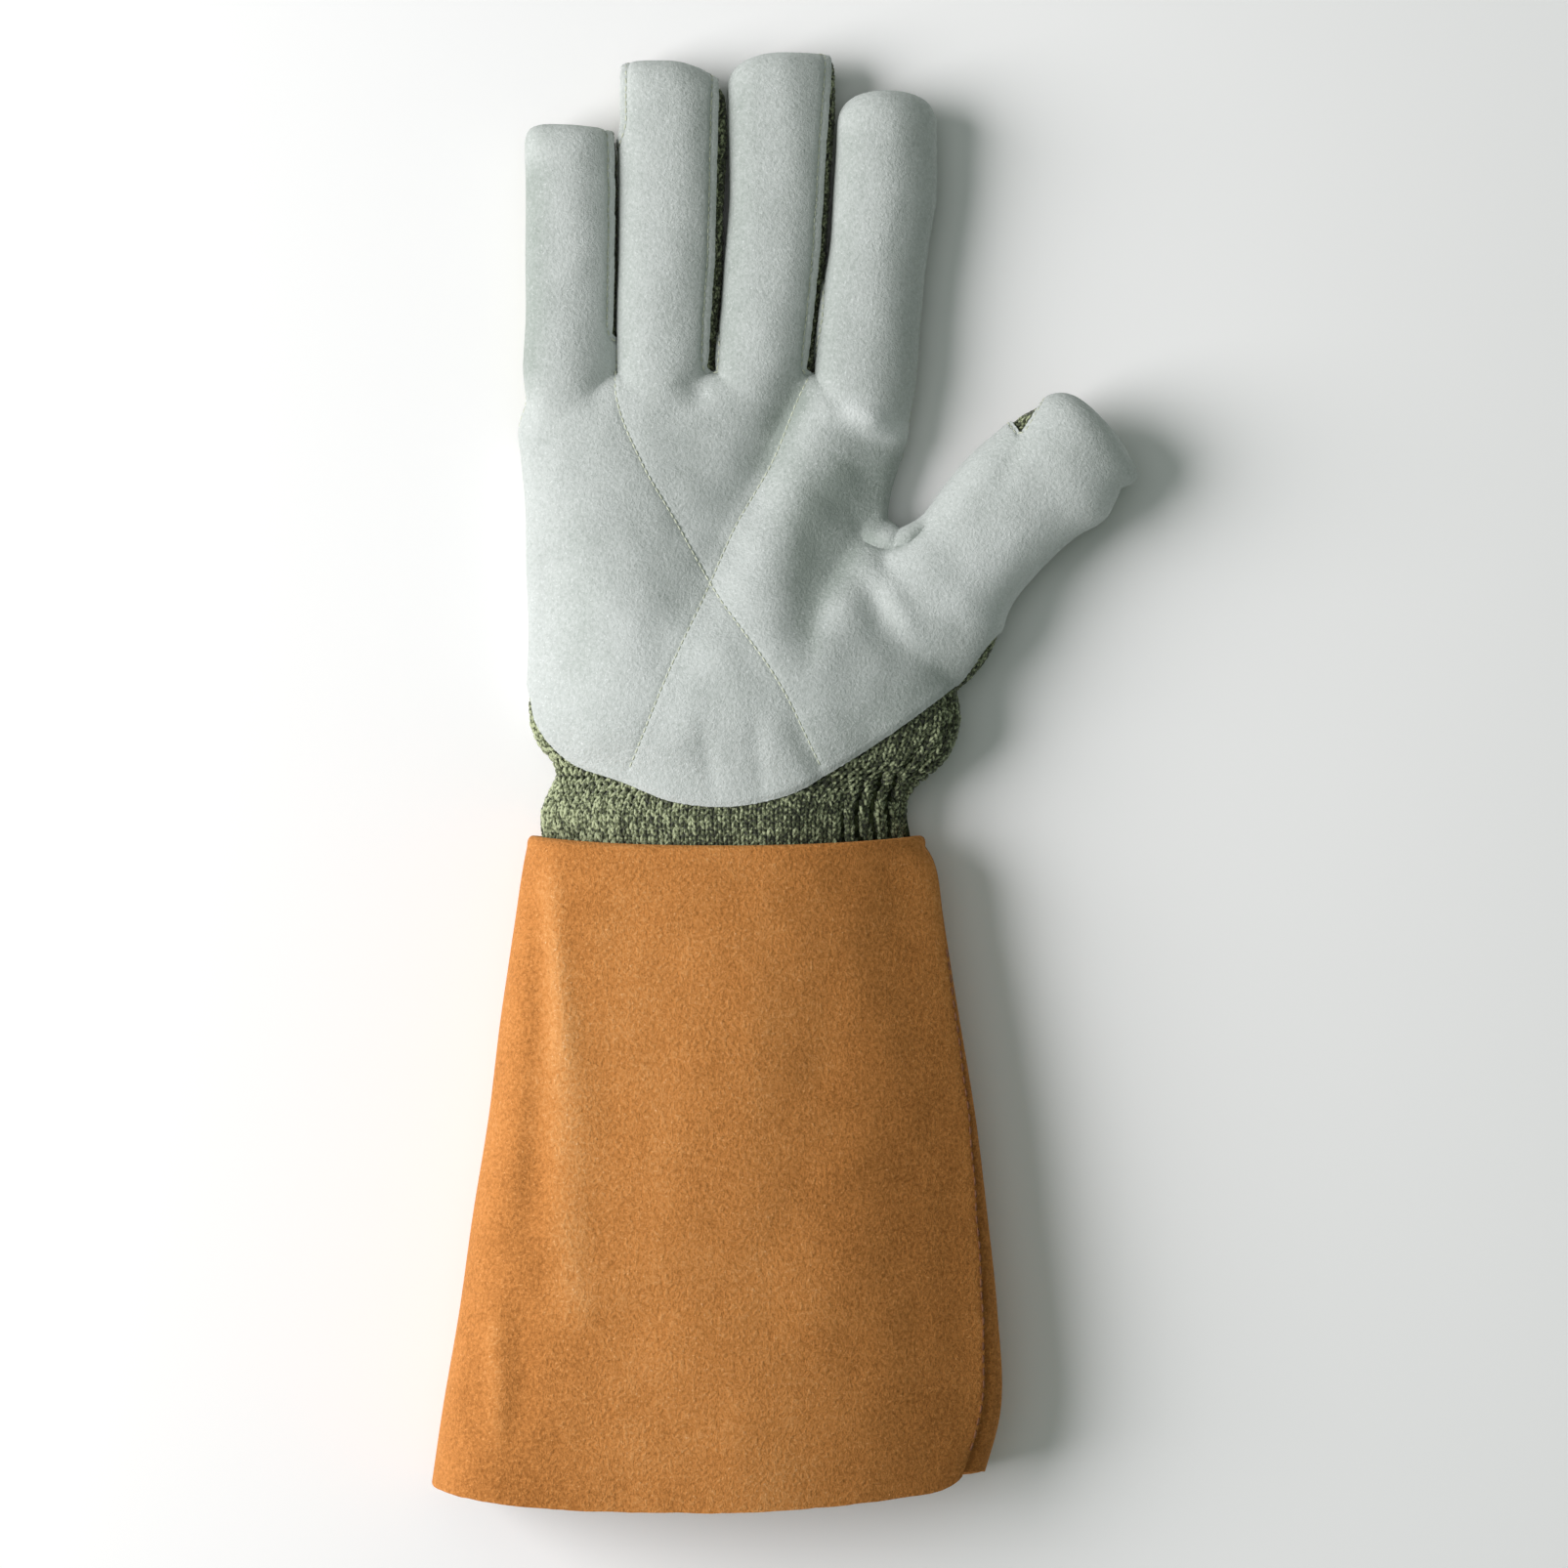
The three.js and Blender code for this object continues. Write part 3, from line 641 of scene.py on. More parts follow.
# Where the suede patch covers the knit: beyond its heel, above its side edges and outside the
# small notch beside the thumb's tip. The value is about the distance to the patch's edge.
HEEL = [
    (-74, 62), (-60.5, 50), (-58.4, 46.8), (-55.3, 35.3), (-46.4, 25.2), (-29.1, 17.9), (-13, 12), (-1.5, 10.9),
    (10, 12), (21.5, 15.8), (29.2, 20.4), (40.7, 27.6), (50.3, 33.9), (58, 39.3), (68.5, 47.5), (79.9, 62), (98, 72),
]
EDGE_HEIGHT = 9.0
LEFT_RISE = {"little": 1.0, "ring": -4.0, "middle": -4.5, "index": -4.5}  # how much higher it ends there
CROTCHES = {"little": 33.0, "ring": 23.0, "middle": 23.0}
FLANGE = 1.6  # from the seam allowance's outline in to the line where the patch leaves the knit
NOTCH = [(87.2, 120.6), (83.5, 127.5), (96.5, 134.5)]
heel_line = smooth_line(HEEL)


def patch_cover(points):
    x, y, z = points.T
    d, _ = line_distance(points, heel_line)
    heel_side = np.where(y > np.interp(x, heel_line[:, 0], heel_line[:, 1]), d, -d)
    edge = np.full(len(points), EDGE_HEIGHT)
    right_side = np.full(len(points), 50.0)
    for finger in fingers:
        s, t, half = finger.local(points)
        on = (np.abs(t) < half + 1) & (s > 8)
        rise = LEFT_RISE[finger.name] * unit(-t / half) ** 0.7 * unit((s - 18) / 6)
        rise *= unit((finger.length + 2 - s) / 5)
        edge = np.where(on, edge + rise, edge)
        shows, *_, outline = FINGERS[finger.name][2:]
        if shows:
            outline = np.array(outline)
            limit = np.interp(y, outline[:, 0], outline[:, 2]) - FLANGE
            free = 14 * (1 - unit((s - CROTCHES[finger.name]) / 5)) ** 2
            right_side = np.where(on & (t > 0), np.minimum(right_side, limit + free - x), right_side)
        if finger.name == "ring":
            knit_corner = x + 32.4 - 2.7 + 5 * unit((212 - y) / 18)
            right_side = np.where(on & (t < 0) & (s > 90), np.minimum(right_side, knit_corner), right_side)
    s, t, _ = thumb.local(points)
    edge = np.where((s > 25) & (np.abs(t) < 26), edge + 6.0 * unit((s - 25) / 50), edge)
    edge -= 7.0 * hump(np.hypot(x - 54, y - 100), 18)
    edge -= 4.0 * unit((-40 - x) / 10) * unit((128 - y) / 10)
    in_notch = np.ones(len(points), bool)
    for (ax, ay), (bx, by) in zip(NOTCH, NOTCH[1:] + NOTCH[:1]):
        in_notch &= (bx - ax) * (y - ay) - (by - ay) * (x - ax) < 0
    d, _ = line_distance(points, NOTCH + NOTCH[:1])
    return np.minimum.reduce([heel_side, z - edge, np.where(in_notch, -d, d), right_side])


def surface_tree(piece):
    """A search tree of a piece's faces, in millimetres from the wrist."""
    bm = bmesh.new()
    bm.from_mesh(piece.data)
    for vert in bm.verts:
        vert.co = Vector(np.array(vert.co) / MM - WRIST)
    tree = BVHTree.FromBMesh(bm)
    bm.free()
    return tree


def new_piece(name, points, faces):
    """A piece made from points in millimetres from the wrist."""
    mesh = bpy.data.meshes.new(name)
    mesh.from_pydata(((np.array(points) + WRIST) * MM).tolist(), [], faces)
    piece = bpy.data.objects.new(name, mesh)
    bpy.context.collection.objects.link(piece)
    return piece


def paint(piece, name, values):
    """An attribute with one value a point."""
    piece.data.attributes.new(name, "FLOAT", "POINT").data.foreach_set("value", values)


def stitch_faces(count, rings, sides):
    """Faces of stitches: each has a first point, some rings of points and a last point."""
    size = rings * sides + 2
    faces = []
    for i in range(sides):
        n = (i + 1) % sides
        faces.append((0, 1 + n, 1 + i))
        for a in range(1, size - 1 - sides, sides):
            faces.append((a + i, a + n, a + sides + n, a + sides + i))
        faces.append((size - 1 - sides + i, size - 1 - sides + n, size - 1))
    return [tuple(first + k for k in f) for first in range(0, count * size, size) for f in faces]


def knit_stitches(name, limb, starts, girth, keep):
    """Rows of plain stitches round a limb, each two slanting legs of yarn that lie on the form."""
    angles = np.linspace(-math.pi, math.pi, 241)
    at = np.arange(starts[0], starts[1], COURSE)
    wales = round(girth / WALE)
    centres, ups, widths = [], [], []
    for both in zip(limb.rings(at, angles), limb.rings(at + 0.5, angles)):
        s = passed(both[0])
        count = np.arange(wales) / wales * s[-1]
        centre, after = (np.column_stack([np.interp(count, s, k) for k in ring.T]) for ring in both)
        centres.extend(centre)
        ups.extend(after - centre)
        widths.extend([s[-1] / wales] * wales)
    centres, ups, widths = np.array(centres), np.array(ups), np.array(widths)
    found = [form_tree.find_nearest(Vector(c)) for c in centres]
    spots, facing = (np.array([f[k] for f in found]) for k in (0, 1))
    strayed = 1.6 + np.abs(crease_depth(centres)) * (facing[:, 2] > -0.3)
    kept = (np.array([f[3] for f in found]) < strayed) & keep(spots) & (patch_cover(spots) < UNDER_PATCH)
    spots, facing, ups, widths = spots[kept], facing[kept], ups[kept], widths[kept]
    ups = length_one(ups - facing * np.sum(ups * facing, axis=1)[:, None])
    sides = np.cross(ups, facing)
    # a leg, from the foot of the stitch to its head: across, along and out
    leg = np.array(
        [(0.03, -0.78, -0.55), (0.13, -0.4, 0.05), (0.28, 0.1, 0.22), (0.42, 0.55, 0.02), (0.5, 0.9, -0.6)]
    )
    seed = np.random.default_rng(len(name) + 7)
    spots, facing, ups, sides, widths = (np.repeat(a, 2, axis=0) for a in (spots, facing, ups, sides, widths))
    hand = np.tile([-1.0, 1.0], len(spots) // 2)
    jitter = seed.normal(0, 0.05, (len(spots), 1, 3))
    paths = (
        (spots - facing * YARN_RADIUS)[:, None, :]
        + (hand[:, None] * leg[:, 0] * widths[:, None] + jitter[:, :, 0])[:, :, None] * sides[:, None, :]
        + (leg[:, 1] * COURSE + jitter[:, :, 1])[:, :, None] * ups[:, None, :]
        + (leg[:, 2] + jitter[:, :, 2])[:, :, None] * facing[:, None, :]
    )
    run = length_one(paths[:, 2:] - paths[:, :-2])
    flat = length_one(np.cross(run, facing[:, None, :]))
    out = np.cross(flat, run)
    turn = np.linspace(0, 2 * math.pi, STITCH_SIDES, endpoint=False)
    tube = paths[:, 1:4, None, :] + YARN_RADIUS * (
        np.cos(turn)[:, None] * flat[:, :, None, :] + np.sin(turn)[:, None] * out[:, :, None, :]
    )
    verts = np.concatenate([paths[:, :1], tube.reshape(len(paths), -1, 3), paths[:, 4:]], axis=1)
    piece = new_piece(name, verts.reshape(-1, 3), stitch_faces(len(paths), 3, STITCH_SIDES))
    # each leg's marl is random; legs on the hand's left are painted paler, a painted highlight where the lamp falls
    marl_and_lit_side = seed.random(len(paths)) + 0.4 * unit((-8 - spots[:, 0]) / 40)
    paint(piece, "marl", np.repeat(marl_and_lit_side, verts.shape[1]))
    return piece


form_tree = surface_tree(form)
ROOT_LINE = 137.0  # from here on the fingers' own rows of stitches take over
THUMB_LINE = 27.0  # and the thumb's
UNDER_PATCH = 2.5  # how far the stitches reach in under the patch
PALM_GIRTH, FINGER_GIRTH, THUMB_GIRTH = 262, 72, 94


def on_palm(spots):
    s, t, _ = thumb.local(spots)
    on_thumb = (s > THUMB_LINE) & (np.abs(t) < 27)
    return (spots[:, 1] < ROOT_LINE) & ~on_thumb


def beyond_palm(spots, reach=2.0):
    """Where the palm's own rows of stitches don't reach: beside its edge and at its rounded end."""
    s, t, half = palm.local(spots)
    into = unit((s - palm.length + palm.tip) / palm.tip)
    return np.abs(t) > half * (1 - into**3.2) ** (1 / 3.2) - reach


def on_finger(spots):
    return (spots[:, 1] >= ROOT_LINE) | beyond_palm(spots)


def on_thumb(spots):
    return (thumb.local(spots)[0] >= THUMB_LINE) | beyond_palm(spots, 7.0)


hand_stitches = knit_stitches("palm_stitches", palm, (-6, palm.length), PALM_GIRTH, on_palm)
hand_stitches.name = "knit_hand"
digits = [knit_stitches(f.name + "_stitches", f, (4, f.length), FINGER_GIRTH, on_finger) for f in fingers]
digits.append(knit_stitches("thumb_stitches", thumb, (2, thumb.length), THUMB_GIRTH, on_thumb))
digit_stitches = join("knit_digits", digits)
for piece in (hand_stitches, digit_stitches):
    dress(piece, yarn)
    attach(piece, "root")
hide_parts("knit_glove")

# The palm patch: one piece of pale grey split leather, nap side out, cut to cover the palm, the
# fronts of the fingers and the thumb. It is sewn flat on the knit along its raw edges, which
# stand out a little beyond the seam, and quilted by two lines of topstitching. Only its rounded
# edge at the wrist is fixed from inside.
PATCH_WALL = 1.3
PATCH_OVER_FORM = 0.3
# palest, pale, middle and deep; painted highlights reach the palest and painted shade the deep
PATCH_COLOURS = (0.74, 0.77, 0.76), (0.66, 0.695, 0.68), (0.51, 0.545, 0.525), (0.31, 0.35, 0.32)
SEAM_INSET = 1.3
FLANGE_WIDER = 0.6
SKIVED_WIDTH = 1.6  # along the raw edge, where the leather is pared to a share of its thickness
SKIVED_SHARE = 0.45
STITCH_PITCH = 2.1
SMOOTH_UP_TO = 50  # degrees
# painted shade and painted highlights on the patch: line, reach, how much darker (under zero paler)
PAINTED_LIGHT_MARKS = [
    ([(35, 110), (27, 97), (22.5, 87), (22, 76), (22.5, 67), (26, 58)], 4.5, 0.45),
    ([(39, 83), (34, 76), (29, 70)], 4, 0.3),
    ([(21, 131), (15.5, 123), (11, 113)], 4.5, 0.75),
    ([(44, 90), (50, 88.5), (57, 92)], 2.5, 0.5),
    ([(38, 128), (45, 125.5), (50, 122.5)], 3.5, -0.7),
    ([(6, 117), (-1, 105), (-8, 92)], 6, -0.3),
    ([(24, 33), (26, 29), (28, 25)], 5, 0.35),
    ([(38, 33), (50, 40), (62, 50)], 6, 0.25),
    ([(-41, 88), (-41, 69), (-41, 50)], 8, 0.2),
    ([(-27, 70), (-25, 55), (-22, 40)], 8, -0.15),
    ([(66, 70), (73, 79), (80, 88)], 6, -0.4),
]


def suede(name, palest, pale, mid, deep, grain, mottle, tuft):
    """Split leather: a short dense nap with pale specks, darkened by painted shade and paled by painted highlights
    and wear, from a point attribute.
    """
    material, tree = new_material(
        name, Roughness=0.95, Specular_IOR_Level=0.12, Sheen_Weight=0.3, Sheen_Roughness=0.55, Sheen_Tint=(*pale, 1)
    )
    nap = noise_field(tree, 900, 3.0, 0.72)
    specks = noise_field(tree, 1500, 2.0, 0.6)
    patches = noise_field(tree, 90, 3.0, 0.55)
    drift = noise_field(tree, 16, 2.0, 0.5)
    tone = math_node(tree, "MULTIPLY", math_node(tree, "SUBTRACT", nap, 0.5), grain)
    # the point attribute paints shade over zero, and highlights or rubbed wear under zero, into the tone
    for field, level, share in ((patches, 0.5, mottle), (drift, 0.5, mottle), (attribute(tree, "hollow"), 0.0, -0.4)):
        off_level = math_node(tree, "SUBTRACT", field, level)
        tone = math_node(tree, "ADD", tone, math_node(tree, "MULTIPLY", off_level, share))
    bright = math_node(tree, "MULTIPLY", math_node(tree, "SUBTRACT", specks, 0.6), 2.2)
    tone = math_node(tree, "ADD", tone, math_node(tree, "MAXIMUM", bright, 0.0))
    tone = math_node(tree, "ADD", tone, 0.5)
    colour = ramp(tree, tone, [(0.2, deep), (0.5, mid), (0.78, pale), (1.0, palest)])
    tufts = bump(tree, nap, 0.8, tuft)
    link_surface(tree, colour, bump(tree, noise_field(tree, 2400, 3.0, 0.7), 0.6, 0.4 * tuft, tufts))
    return material


patch_suede = suede("grey_split_leather", *PATCH_COLOURS, 0.55, 0.16, 0.55 * MM)

patch = copy_of(form, "palm_leather")
push(patch, PATCH_OVER_FORM)
points = points_of(patch)
cover = patch_cover(points)
fine = np.abs(cover) < 4.5
for line in TOPSTITCH:
    fine |= (line_distance(points, smooth_line(line))[0] < 3.0) & (cover > 0)
choose(patch)
patch.data.vertices.foreach_set("select", fine)
edges = np.array([tuple(e.vertices) for e in patch.data.edges])
patch.data.edges.foreach_set("select", fine[edges].all(axis=1))
patch.data.polygons.foreach_set("select", [all(fine[v] for v in p.vertices) for p in patch.data.polygons])
bpy.ops.object.mode_set(mode="EDIT")
bpy.ops.mesh.select_mode(type="FACE")
bpy.ops.mesh.subdivide(number_cuts=1, smoothness=0)
bpy.ops.object.mode_set(mode="OBJECT")
trim(patch, patch_cover(points_of(patch)))


def edge_loops(piece):
    """The piece's open edges as rings of points, in millimetres from the wrist."""
    bm = bmesh.new()
    bm.from_mesh(piece.data)
    after = {}
    for edge in bm.edges:
        if len(edge.link_loops) == 1:
            loop = edge.link_loops[0]
            after[loop.vert.index] = loop.link_loop_next.vert.index
    co = [np.array(v.co) / MM - WRIST for v in bm.verts]
    bm.free()
    rings = []
    while after:
        start, here = next(iter(after.items()))
        ring = [start]
        after.pop(start)
        while here != start and here in after:
            ring.append(here)
            here = after.pop(here)
        if len(ring) > 40:
            rings.append(np.array([co[i] for i in ring]))
    return rings


def spaced(line, pitch, closed=False):
    """Points at an even pitch along a line."""
    line = np.vstack([line, line[:1]]) if closed else line
    s = passed(line)
    count = max(2, round(s[-1] / pitch))
    at = np.linspace(0, s[-1], count, endpoint=not closed)
    return np.column_stack([np.interp(at, s, line[:, k]) for k in range(line.shape[1])])


patch_edges = [spaced(ring, 0.7, closed=True) for ring in edge_loops(patch)]
edge_points = np.vstack(patch_edges)


def seam_inset(points):
    """How far inside the raw edge the seam runs: the fingers' right sides have a wide allowance."""
    wide = np.zeros(len(points))
    for finger in fingers[:3]:
        s, t, _ = finger.local(points)
        wide = np.maximum(wide, unit(t / 4 - 1) * (t < 20) * unit((s - CROTCHES[finger.name]) / 8))
    return SEAM_INSET + FLANGE_WIDER * wide


insets = seam_inset(edge_points)
edge_tree = KDTree(len(edge_points))
for i, p in enumerate(edge_points):
    edge_tree.insert(p, i)
edge_tree.balance()
points, normals = points_of(patch), read_points(patch, "normal")
nearest = [edge_tree.find(p) for p in points]
inset = np.array([n[2] for n in nearest])
seam_at = insets[[n[1] for n in nearest]]
wide = (seam_at - SEAM_INSET) / FLANGE_WIDER
groove = (0.3 + 0.3 * wide) * hump(inset - seam_at, 0.7)
groove *= line_distance(points, heel_line)[0] > 4
for line in TOPSTITCH:
    groove = np.maximum(groove, 0.3 * hump(line_distance(points, smooth_line(line))[0], 0.8))
flare = (0.15 + 0.9 * wide) * unit(1 - inset / seam_at) ** 0.8
level = np.column_stack([normals[:, 0], normals[:, 1], np.zeros(len(normals))])
level /= np.maximum(np.linalg.norm(level, axis=1), 0.2)[:, None]
points += level * flare[:, None] - normals * groove[:, None]
# painted shade: the patch is coloured darker in the creases on the thumb's side and in the seams' grooves; the marks
# below add painted highlights under zero
hollow = np.clip(-crease_depth(points) / 10.0, 0, 0.6) * unit((points[:, 0] - 10) / 15) + 0.05 * groove
# painted shade on the left sides of the fingers, and painted highlights on the right sides of the little finger and
# the thumb
for limb, left, right in zip((*fingers, thumb), (0.7, 0.3, 0.45, 0.35, 0.0), (-0.5, 0.0, 0.0, 0.0, -0.5)):
    s, t, half = limb.local(points)
    on = unit((s - 16) / 12) * np.clip((limb.length - 4 - s) / 10, 0.4, 1) * (np.abs(t) < half + 2)
    hollow += on * (left * np.clip(-t / half - 0.3, 0, 0.5) + right * np.clip(t / half - 0.1, 0, 0.5)) / 0.5
# painted shade along some lines, painted highlights along others
for line, reach, darker in PAINTED_LIGHT_MARKS:
    hollow += darker * hump(line_distance(points, smooth_line(line))[0], reach)
weigh(patch, "skived", np.interp(inset, [0, SKIVED_WIDTH], [SKIVED_SHARE, 1]))
set_points(patch, points)
paint(patch, "hollow", hollow)
apply_modifier(patch, "SOLIDIFY", thickness=PATCH_WALL * MM, offset=1, use_rim=True, vertex_group="skived")
dress(patch, patch_suede, SMOOTH_UP_TO)
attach(patch, "root")
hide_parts("palm_patch")

# Sewing thread of the patch: pale cream yellow cord in short lock stitches, along its edges round
# the fingers, the thumb and the hand's sides, and in the two crossing lines on the palm.
THREAD_RADIUS = 0.24
THREAD_SIDES = 6
STITCH_LENGTH = 1.92


def thread(name, pale, deep):
    """Twisted sewing thread."""
    material, tree = new_material(name, Roughness=0.7)
    colour = ramp(tree, noise_field(tree, 900, 2.0, 0.6), [(0.3, deep), (0.6, pale)])
    link_surface(tree, colour, bump(tree, noise_field(tree, 5200, 1.0, 0.5), 0.5, 0.1 * MM))
    return material


def hit(spot, normal, *_):
    """What a search tree found, as arrays."""
    return np.array(spot), np.array(normal)


def sew(name, lines, length, radius, finish, sink=0.05):
    """Stitches of thread along lines of (point, normal), one to each step of the line."""
    verts = []
    turns = np.linspace(0, 2 * math.pi, THREAD_SIDES, endpoint=False)
    # along, thickness and height of a stitch's sections, up to its middle
    profile = [(-0.5, 0.0, -0.5), (-0.42, 0.75, -0.1), (-0.15, 1.0, 0.25)]
    profile += [(-along, thick, out) for along, thick, out in reversed(profile)]
    for hits in lines:
        for (start, normal), (end, next_normal) in zip(hits, hits[1:]):
            step = np.linalg.norm(end - start)
            if not 0.3 * length <= step <= 3 * length:
                continue
            run = (end - start) / step
            normal = normal + next_normal
            normal = length_one(normal - run * (normal @ run))
            flat = np.cross(run, normal)
            middle = (start + end) / 2 + normal * (radius * 0.5 - sink)
            for along, thick, out in profile:
                centre = middle + run * along * length + normal * out * radius
                round_it = [math.cos(a) * flat + math.sin(a) * normal for a in turns] if thick else [0]
                verts.extend(centre + radius * thick * v for v in round_it)
    per_stitch = 4 * THREAD_SIDES + 2
    piece = new_piece(name, verts, stitch_faces(len(verts) // per_stitch, 4, THREAD_SIDES))
    choose(piece)
    mend(merge=False, outward=True)
    dress(piece, finish)
    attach(piece, "root")
    return piece


DOWN = Vector((0, 0, -1))
patch_tree = surface_tree(patch)
seams = []
for line in TOPSTITCH:
    found = [patch_tree.ray_cast(Vector((x, y, 80)), DOWN) for x, y in spaced(smooth_line(line), STITCH_PITCH)]
    seams.append([hit(*f) for f in found if f[0] is not None])
for ring in patch_edges:
    line = spaced(ring, STITCH_PITCH, closed=True)
    hits = []
    for k, p in enumerate(line):
        run = length_one(line[(k + 1) % len(line)] - line[k - 1])
        _, normal = hit(*form_tree.find_nearest(Vector(p)))
        inward = np.cross(normal, run)
        target = p + inward * seam_inset(p[None, :])[0] + normal * 3.0
        found = patch_tree.ray_cast(Vector(target), Vector(-normal), 8.0)
        if found[0] is not None and line_distance(p[None, :], heel_line)[0][0] > 2.5:
            hits.append(hit(*found))
    seams.append(hits)
cream_thread = thread("cream_thread", (0.60, 0.63, 0.50), (0.43, 0.46, 0.35))
patch_thread = sew("patch_thread", seams, STITCH_LENGTH, THREAD_RADIUS, cream_thread, sink=0.1)

# The gauntlet cuff: one long panel of golden tan split leather, folded round at the little
# finger's side and sewn up along the thumb's side. Its upper edge is turned in round the wrist,
# and its hem is left raw.
CUFF_WALL = 1.5
# palest, pale, middle and deep; the ridges' rubbed wear and painted highlight reach the palest, painted shade the
# deep
CUFF_COLOURS = (0.84, 0.56, 0.33), (0.76, 0.375, 0.135), (0.61, 0.245, 0.064), (0.33, 0.12, 0.025)
CUFF_LENGTH = 187.0
HEM_BOW = 5.0
SHOULDER = 5.0
EDGE_LIFT = 2.6
# along, centre, width, height
CUFF_ROWS = [
    (0, 1, 117.5, 41.5), (7.9, 1.65, 122.1, 43.2), (22.3, 1.65, 126.7, 44.3), (51.1, 1.8, 135.7, 47),
    (79.9, 2.4, 143.8, 49.1), (108.7, 1.8, 151.8, 51.3), (137.5, 1.25, 158.7, 53.5), (166.3, -0.75, 164.5, 54),
    (187, -4.6, 162.9, 53),
]
SEAM_ANGLES = (6.0, 22.0)  # degrees above the widest line, at the wrist and at the hem
LIP = 13.0
# Ridges and creases of the cuff: points in plan, half width, depth
CUFF_FOLDS = [
    ([(-52, -2), (-50, -25), (-48, -44), (-46, -66)], 4.2, 1.2),
    ([(-48.5, -46), (-45.5, -75), (-44.5, -105), (-42, -145)], 7, 0.95),
    ([(-56, -12), (-53.8, -35), (-53.4, -60), (-55, -90), (-57, -120)], 4.6, -1.5),
    ([(-68, -130), (-66, -154), (-66.5, -178)], 3.2, 0.8),
    ([(-59, -128), (-58, -150), (-59, -172)], 4, -0.8),
    ([(34, -22), (27, -60), (19, -105), (10, -150)], 11, -0.8),
    ([(-10, -50), (-12, -110), (-8, -165)], 12, 0.6),
]
SEAM_PITCH = 3.7
SEAM_GROOVE = 1.3
BEHIND_SEAM = 0.9  # how much lower the edge behind the seam lies
TURN_AT = 3.0  # where the turned edge's fold begins, from its top
CUFF_ROUNDNESS = (2.7, 2.0)  # on the little finger's side and on the thumb's
SLOPES = [(-36, -1, 0.11), (10, 1, -0.12)]  # of the top: from where, to which side, how steeply up
SLOPE_BEND = 8  # how softly the slopes begin
HEM_CORNER = 4.2  # how much higher the hem is cut at the seam
HEM_RAGGED = 0.3


def cuff_point(along, angle, offset):
    """Points of the cuff's ovals, grown by an offset."""
    row = read_rows(CUFF_ROWS, along)
    centre, width, height = row[:, 1:2], row[:, 2:3], row[:, 3:4]
    across, up = oval(angle, width / 2, height, CUFF_ROUNDNESS, offset)
    shoulder = SHOULDER * (1 - np.sqrt(1 - unit(1 - along / 10) ** 2))[:, None] * unit(np.cos(angle))
    bow = HEM_BOW * np.sin(angle) ** 2 * unit((along[:, None] - 150) / 37) ** 2
    return np.stack([centre + across - shoulder, -along[:, None] - bow, up], axis=2)


def seam_angle(share):
    """The seam's angle round the cuff at a share of its length."""
    return np.radians(SEAM_ANGLES[0] + (SEAM_ANGLES[1] - SEAM_ANGLES[0]) * share)


cuff_suede = suede("tan_split_leather", *CUFF_COLOURS, 0.9, 0.2, 1.0 * MM)
SIDES = 200
angles = np.linspace(0, 2 * math.pi, SIDES, endpoint=False) + math.pi / SIDES
outer = cuff_point(np.concatenate([np.linspace(TURN_AT, 16, 8), np.linspace(18, CUFF_LENGTH, 86)]), angles, 0.0)
inner_at = np.linspace(LIP, TURN_AT, 6)
lip = palm.rings(-inner_at, angles)
wrist_height, wrist_lift = PALM_ROWS[0][3:]
middle = np.array([0.2, 0.0, wrist_lift + wrist_height * WIDEST_AT])
lip += length_one((lip - middle) * [1, 0, 1]) * (0.35 + CUFF_WALL)
lip[:, :, 1] = -inner_at[:, None]
lip[:, :, 2] = np.maximum(lip[:, :, 2], CUFF_WALL)
turn = []
first, last = lip[-1], outer[0]
for step in np.linspace(0, math.pi, 11)[1:-1]:
    share = (1 - math.cos(step)) / 2
    ring = first * (1 - share) + last * share
    ring[:, 1] = -TURN_AT + TURN_AT * math.sin(step) ** 0.8
    turn.append(ring)
rings = np.concatenate([lip, np.array(turn), outer])
is_outer = len(lip) + len(turn)
cuff, flat = rolled_grid("gauntlet_cuff", rings)
ring_of = np.repeat(np.arange(len(rings)), SIDES + 1)
angle_of = np.tile(np.append(angles, angles[0] + 2 * math.pi), len(rings))
angle_of = (angle_of + math.pi) % (2 * math.pi) - math.pi
body = unit((ring_of - is_outer + 3) / 6)
up = unit(np.sin(angle_of) * 1.3)
up = up * up * (3 - 2 * up)
depth = np.zeros(len(flat))
rub_and_highlight = np.zeros(len(flat))
for line, half_width, height in CUFF_FOLDS:
    d, share = line_distance(flat, smooth_line(line))
    ends = unit(np.minimum(share, 1 - share) * 5 + 0.1)
    fold = height * hump(d, half_width) * ends
    depth += fold
    # higher ridges are coloured paler: rubbed nap with a painted highlight
    if height > 0.7:
        rub_and_highlight += fold
soft = soft_noise(flat, 0.03, 0.09, 0.4)
lean = sum(slope * SLOPE_BEND * np.logaddexp(0, way * (flat[:, 0] - x) / SLOPE_BEND) for x, way, slope in SLOPES)
flat[:, 2] += up * body * (depth + UNEVENNESS * soft + lean)
flat[:, 1] += EDGE_LIFT * np.cos(angle_of) ** 2 * unit(1 + flat[:, 1] / 40)
along = unit(-flat[:, 1] / CUFF_LENGTH)
off_seam = (angle_of - seam_angle(along)) * np.where(np.abs(angle_of) < 1.2, 45.0, 1e3)
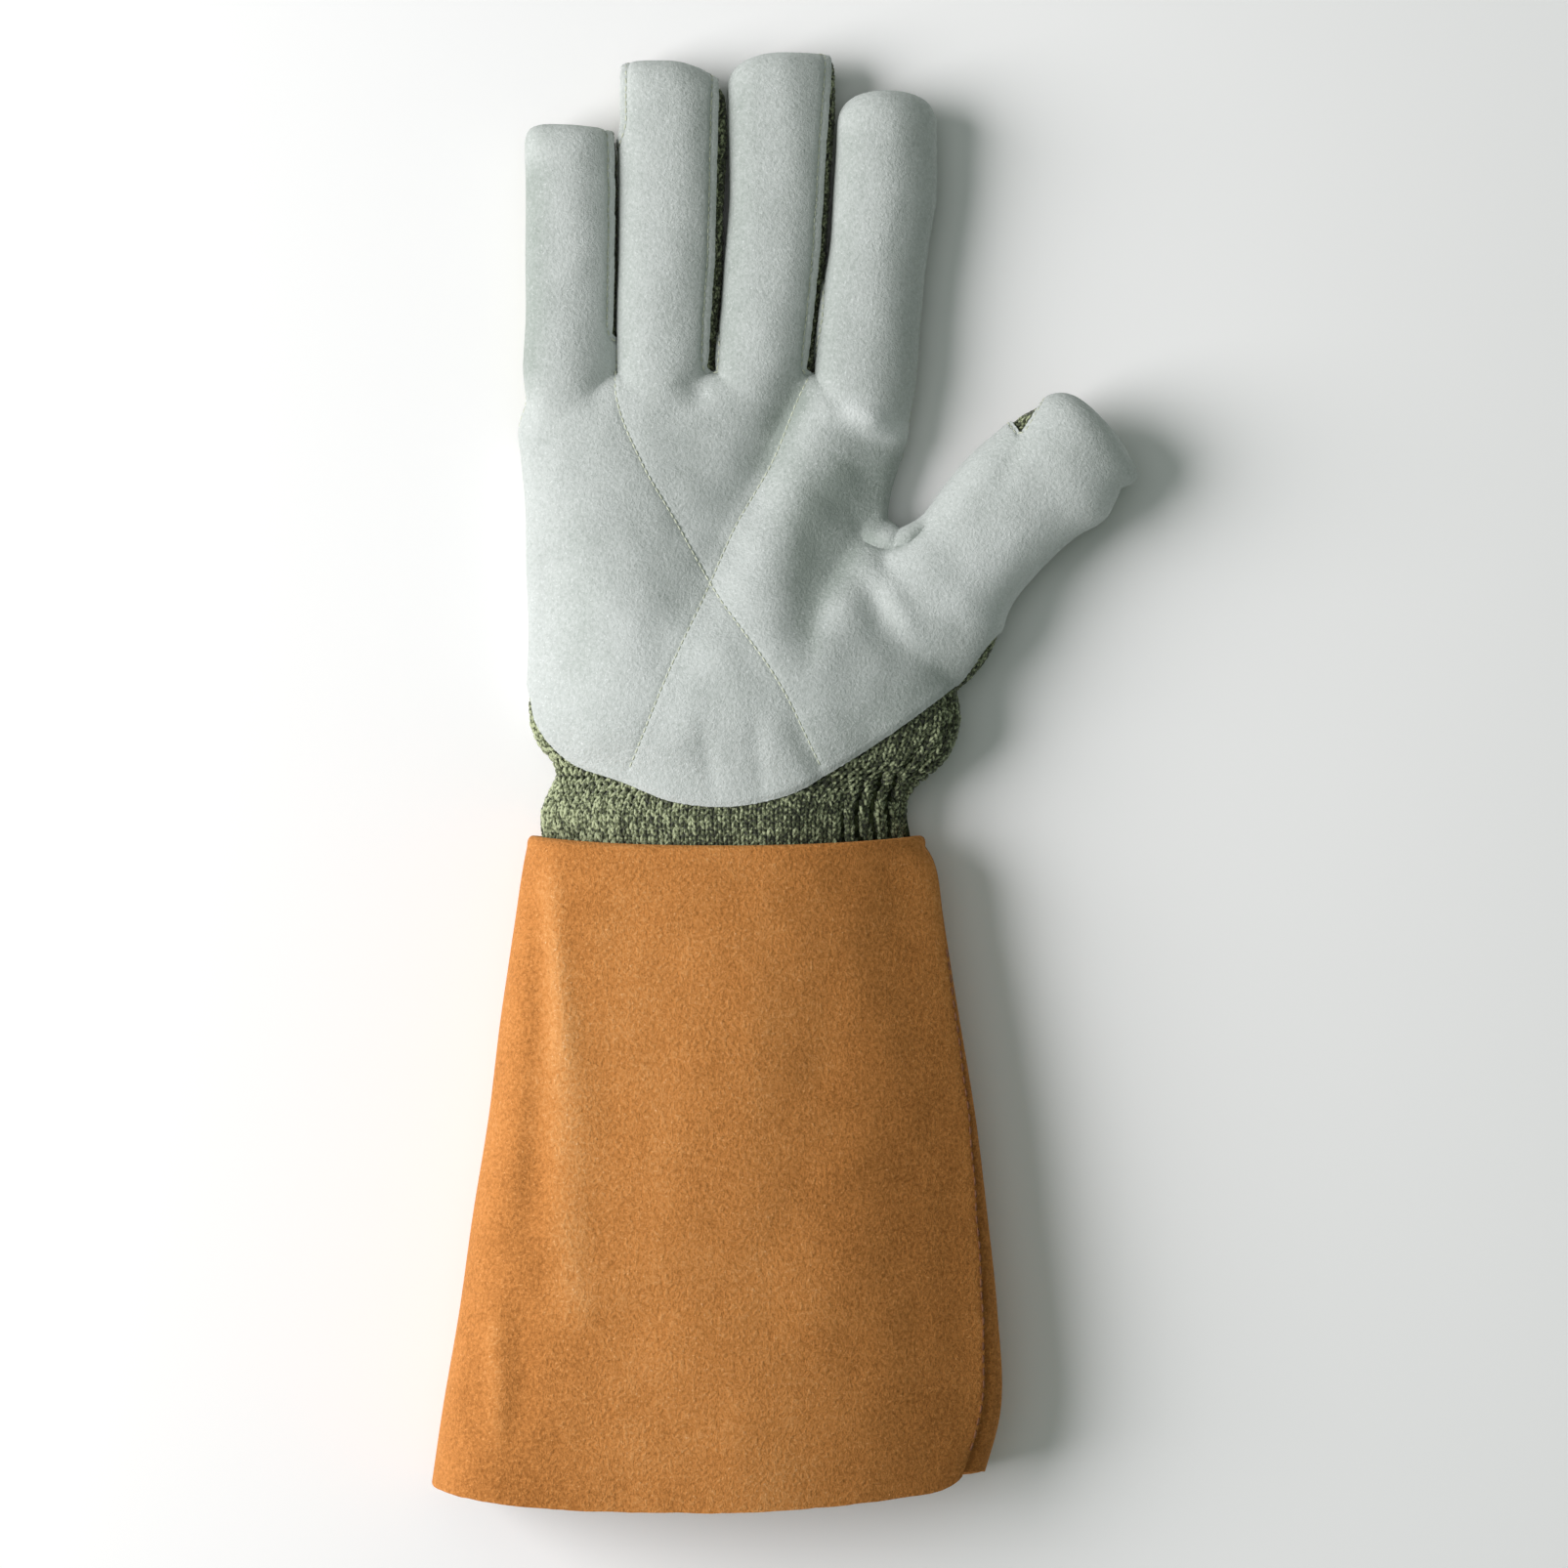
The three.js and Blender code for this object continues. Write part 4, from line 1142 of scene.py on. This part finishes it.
away = length_one((flat - (0, 0, 20)) * [1, 0, 1])
groove = hump(off_seam, 1.2)
behind = unit(-off_seam / 1.6) * unit(1 + off_seam / 26)
flat -= away * ((SEAM_GROOVE * groove + BEHIND_SEAM * behind) * body)[:, None]
at_hem = unit((along - 0.86) / 0.14) ** 2
corner = np.where(off_seam > 0, unit(1 - off_seam / 12) ** 2, unit(1 + off_seam / 45))
tears = ((noise.noise((x * 0.11, z * 0.11, 3)), noise.noise((x * 0.4, z * 0.4, 7))) for x, _, z in flat)
ragged = np.array([wide + 0.5 * fine for wide, fine in tears])
flat[:, 1] += at_hem * (HEM_CORNER * corner + HEM_RAGGED * ragged)
set_points(cuff, flat)
# painted shade on the cuff: darker towards both sides, in the seam's groove and on the edge behind it
painted_shade_sides = 0.5 * unit((flat[:, 0] - 12) / 55) + 0.3 * unit((-30 - flat[:, 0]) / 25)
paint(cuff, "hollow", up * (np.clip(-rub_and_highlight / 2.2, -0.55, 0) + painted_shade_sides) + 0.5 * (groove + behind))
mend()
points = points_of(cuff)
lying = unit((12 - points[:, 2]) / 5) * unit((-6 - points[:, 1]) / 8)
lying *= unit((CUFF_LENGTH - 6 + points[:, 1]) / 8)
weigh(cuff, "bottom", lying)
apply_modifier(cuff, "SMOOTH", factor=0.5, iterations=12, vertex_group="bottom")
apply_modifier(cuff, "SOLIDIFY", thickness=CUFF_WALL * MM, offset=-1, use_rim=True)
dress(cuff, cuff_suede, SMOOTH_UP_TO)
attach(cuff, "root")
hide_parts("cuff")

# The cuff's side seam: dark tan sewing thread, in plain stitches along the bottom of the groove,
# that holds the panel's two edges together.
cuff_tree = surface_tree(cuff)
hits = []
for s in np.arange(30.0, CUFF_LENGTH - 6, SEAM_PITCH):
    turned = seam_angle(s / CUFF_LENGTH) + 0.012
    spot = cuff_point(np.array([s]), np.array([turned]), 0.5)[0, 0]
    hits.append(hit(*cuff_tree.find_nearest(Vector(spot))))
tan_thread = thread("tan_thread", (0.19, 0.075, 0.024), (0.11, 0.038, 0.012))
cuff_thread = sew("cuff_thread", [hits], 2.6, 0.38, tan_thread)

bpy.data.objects.remove(form)
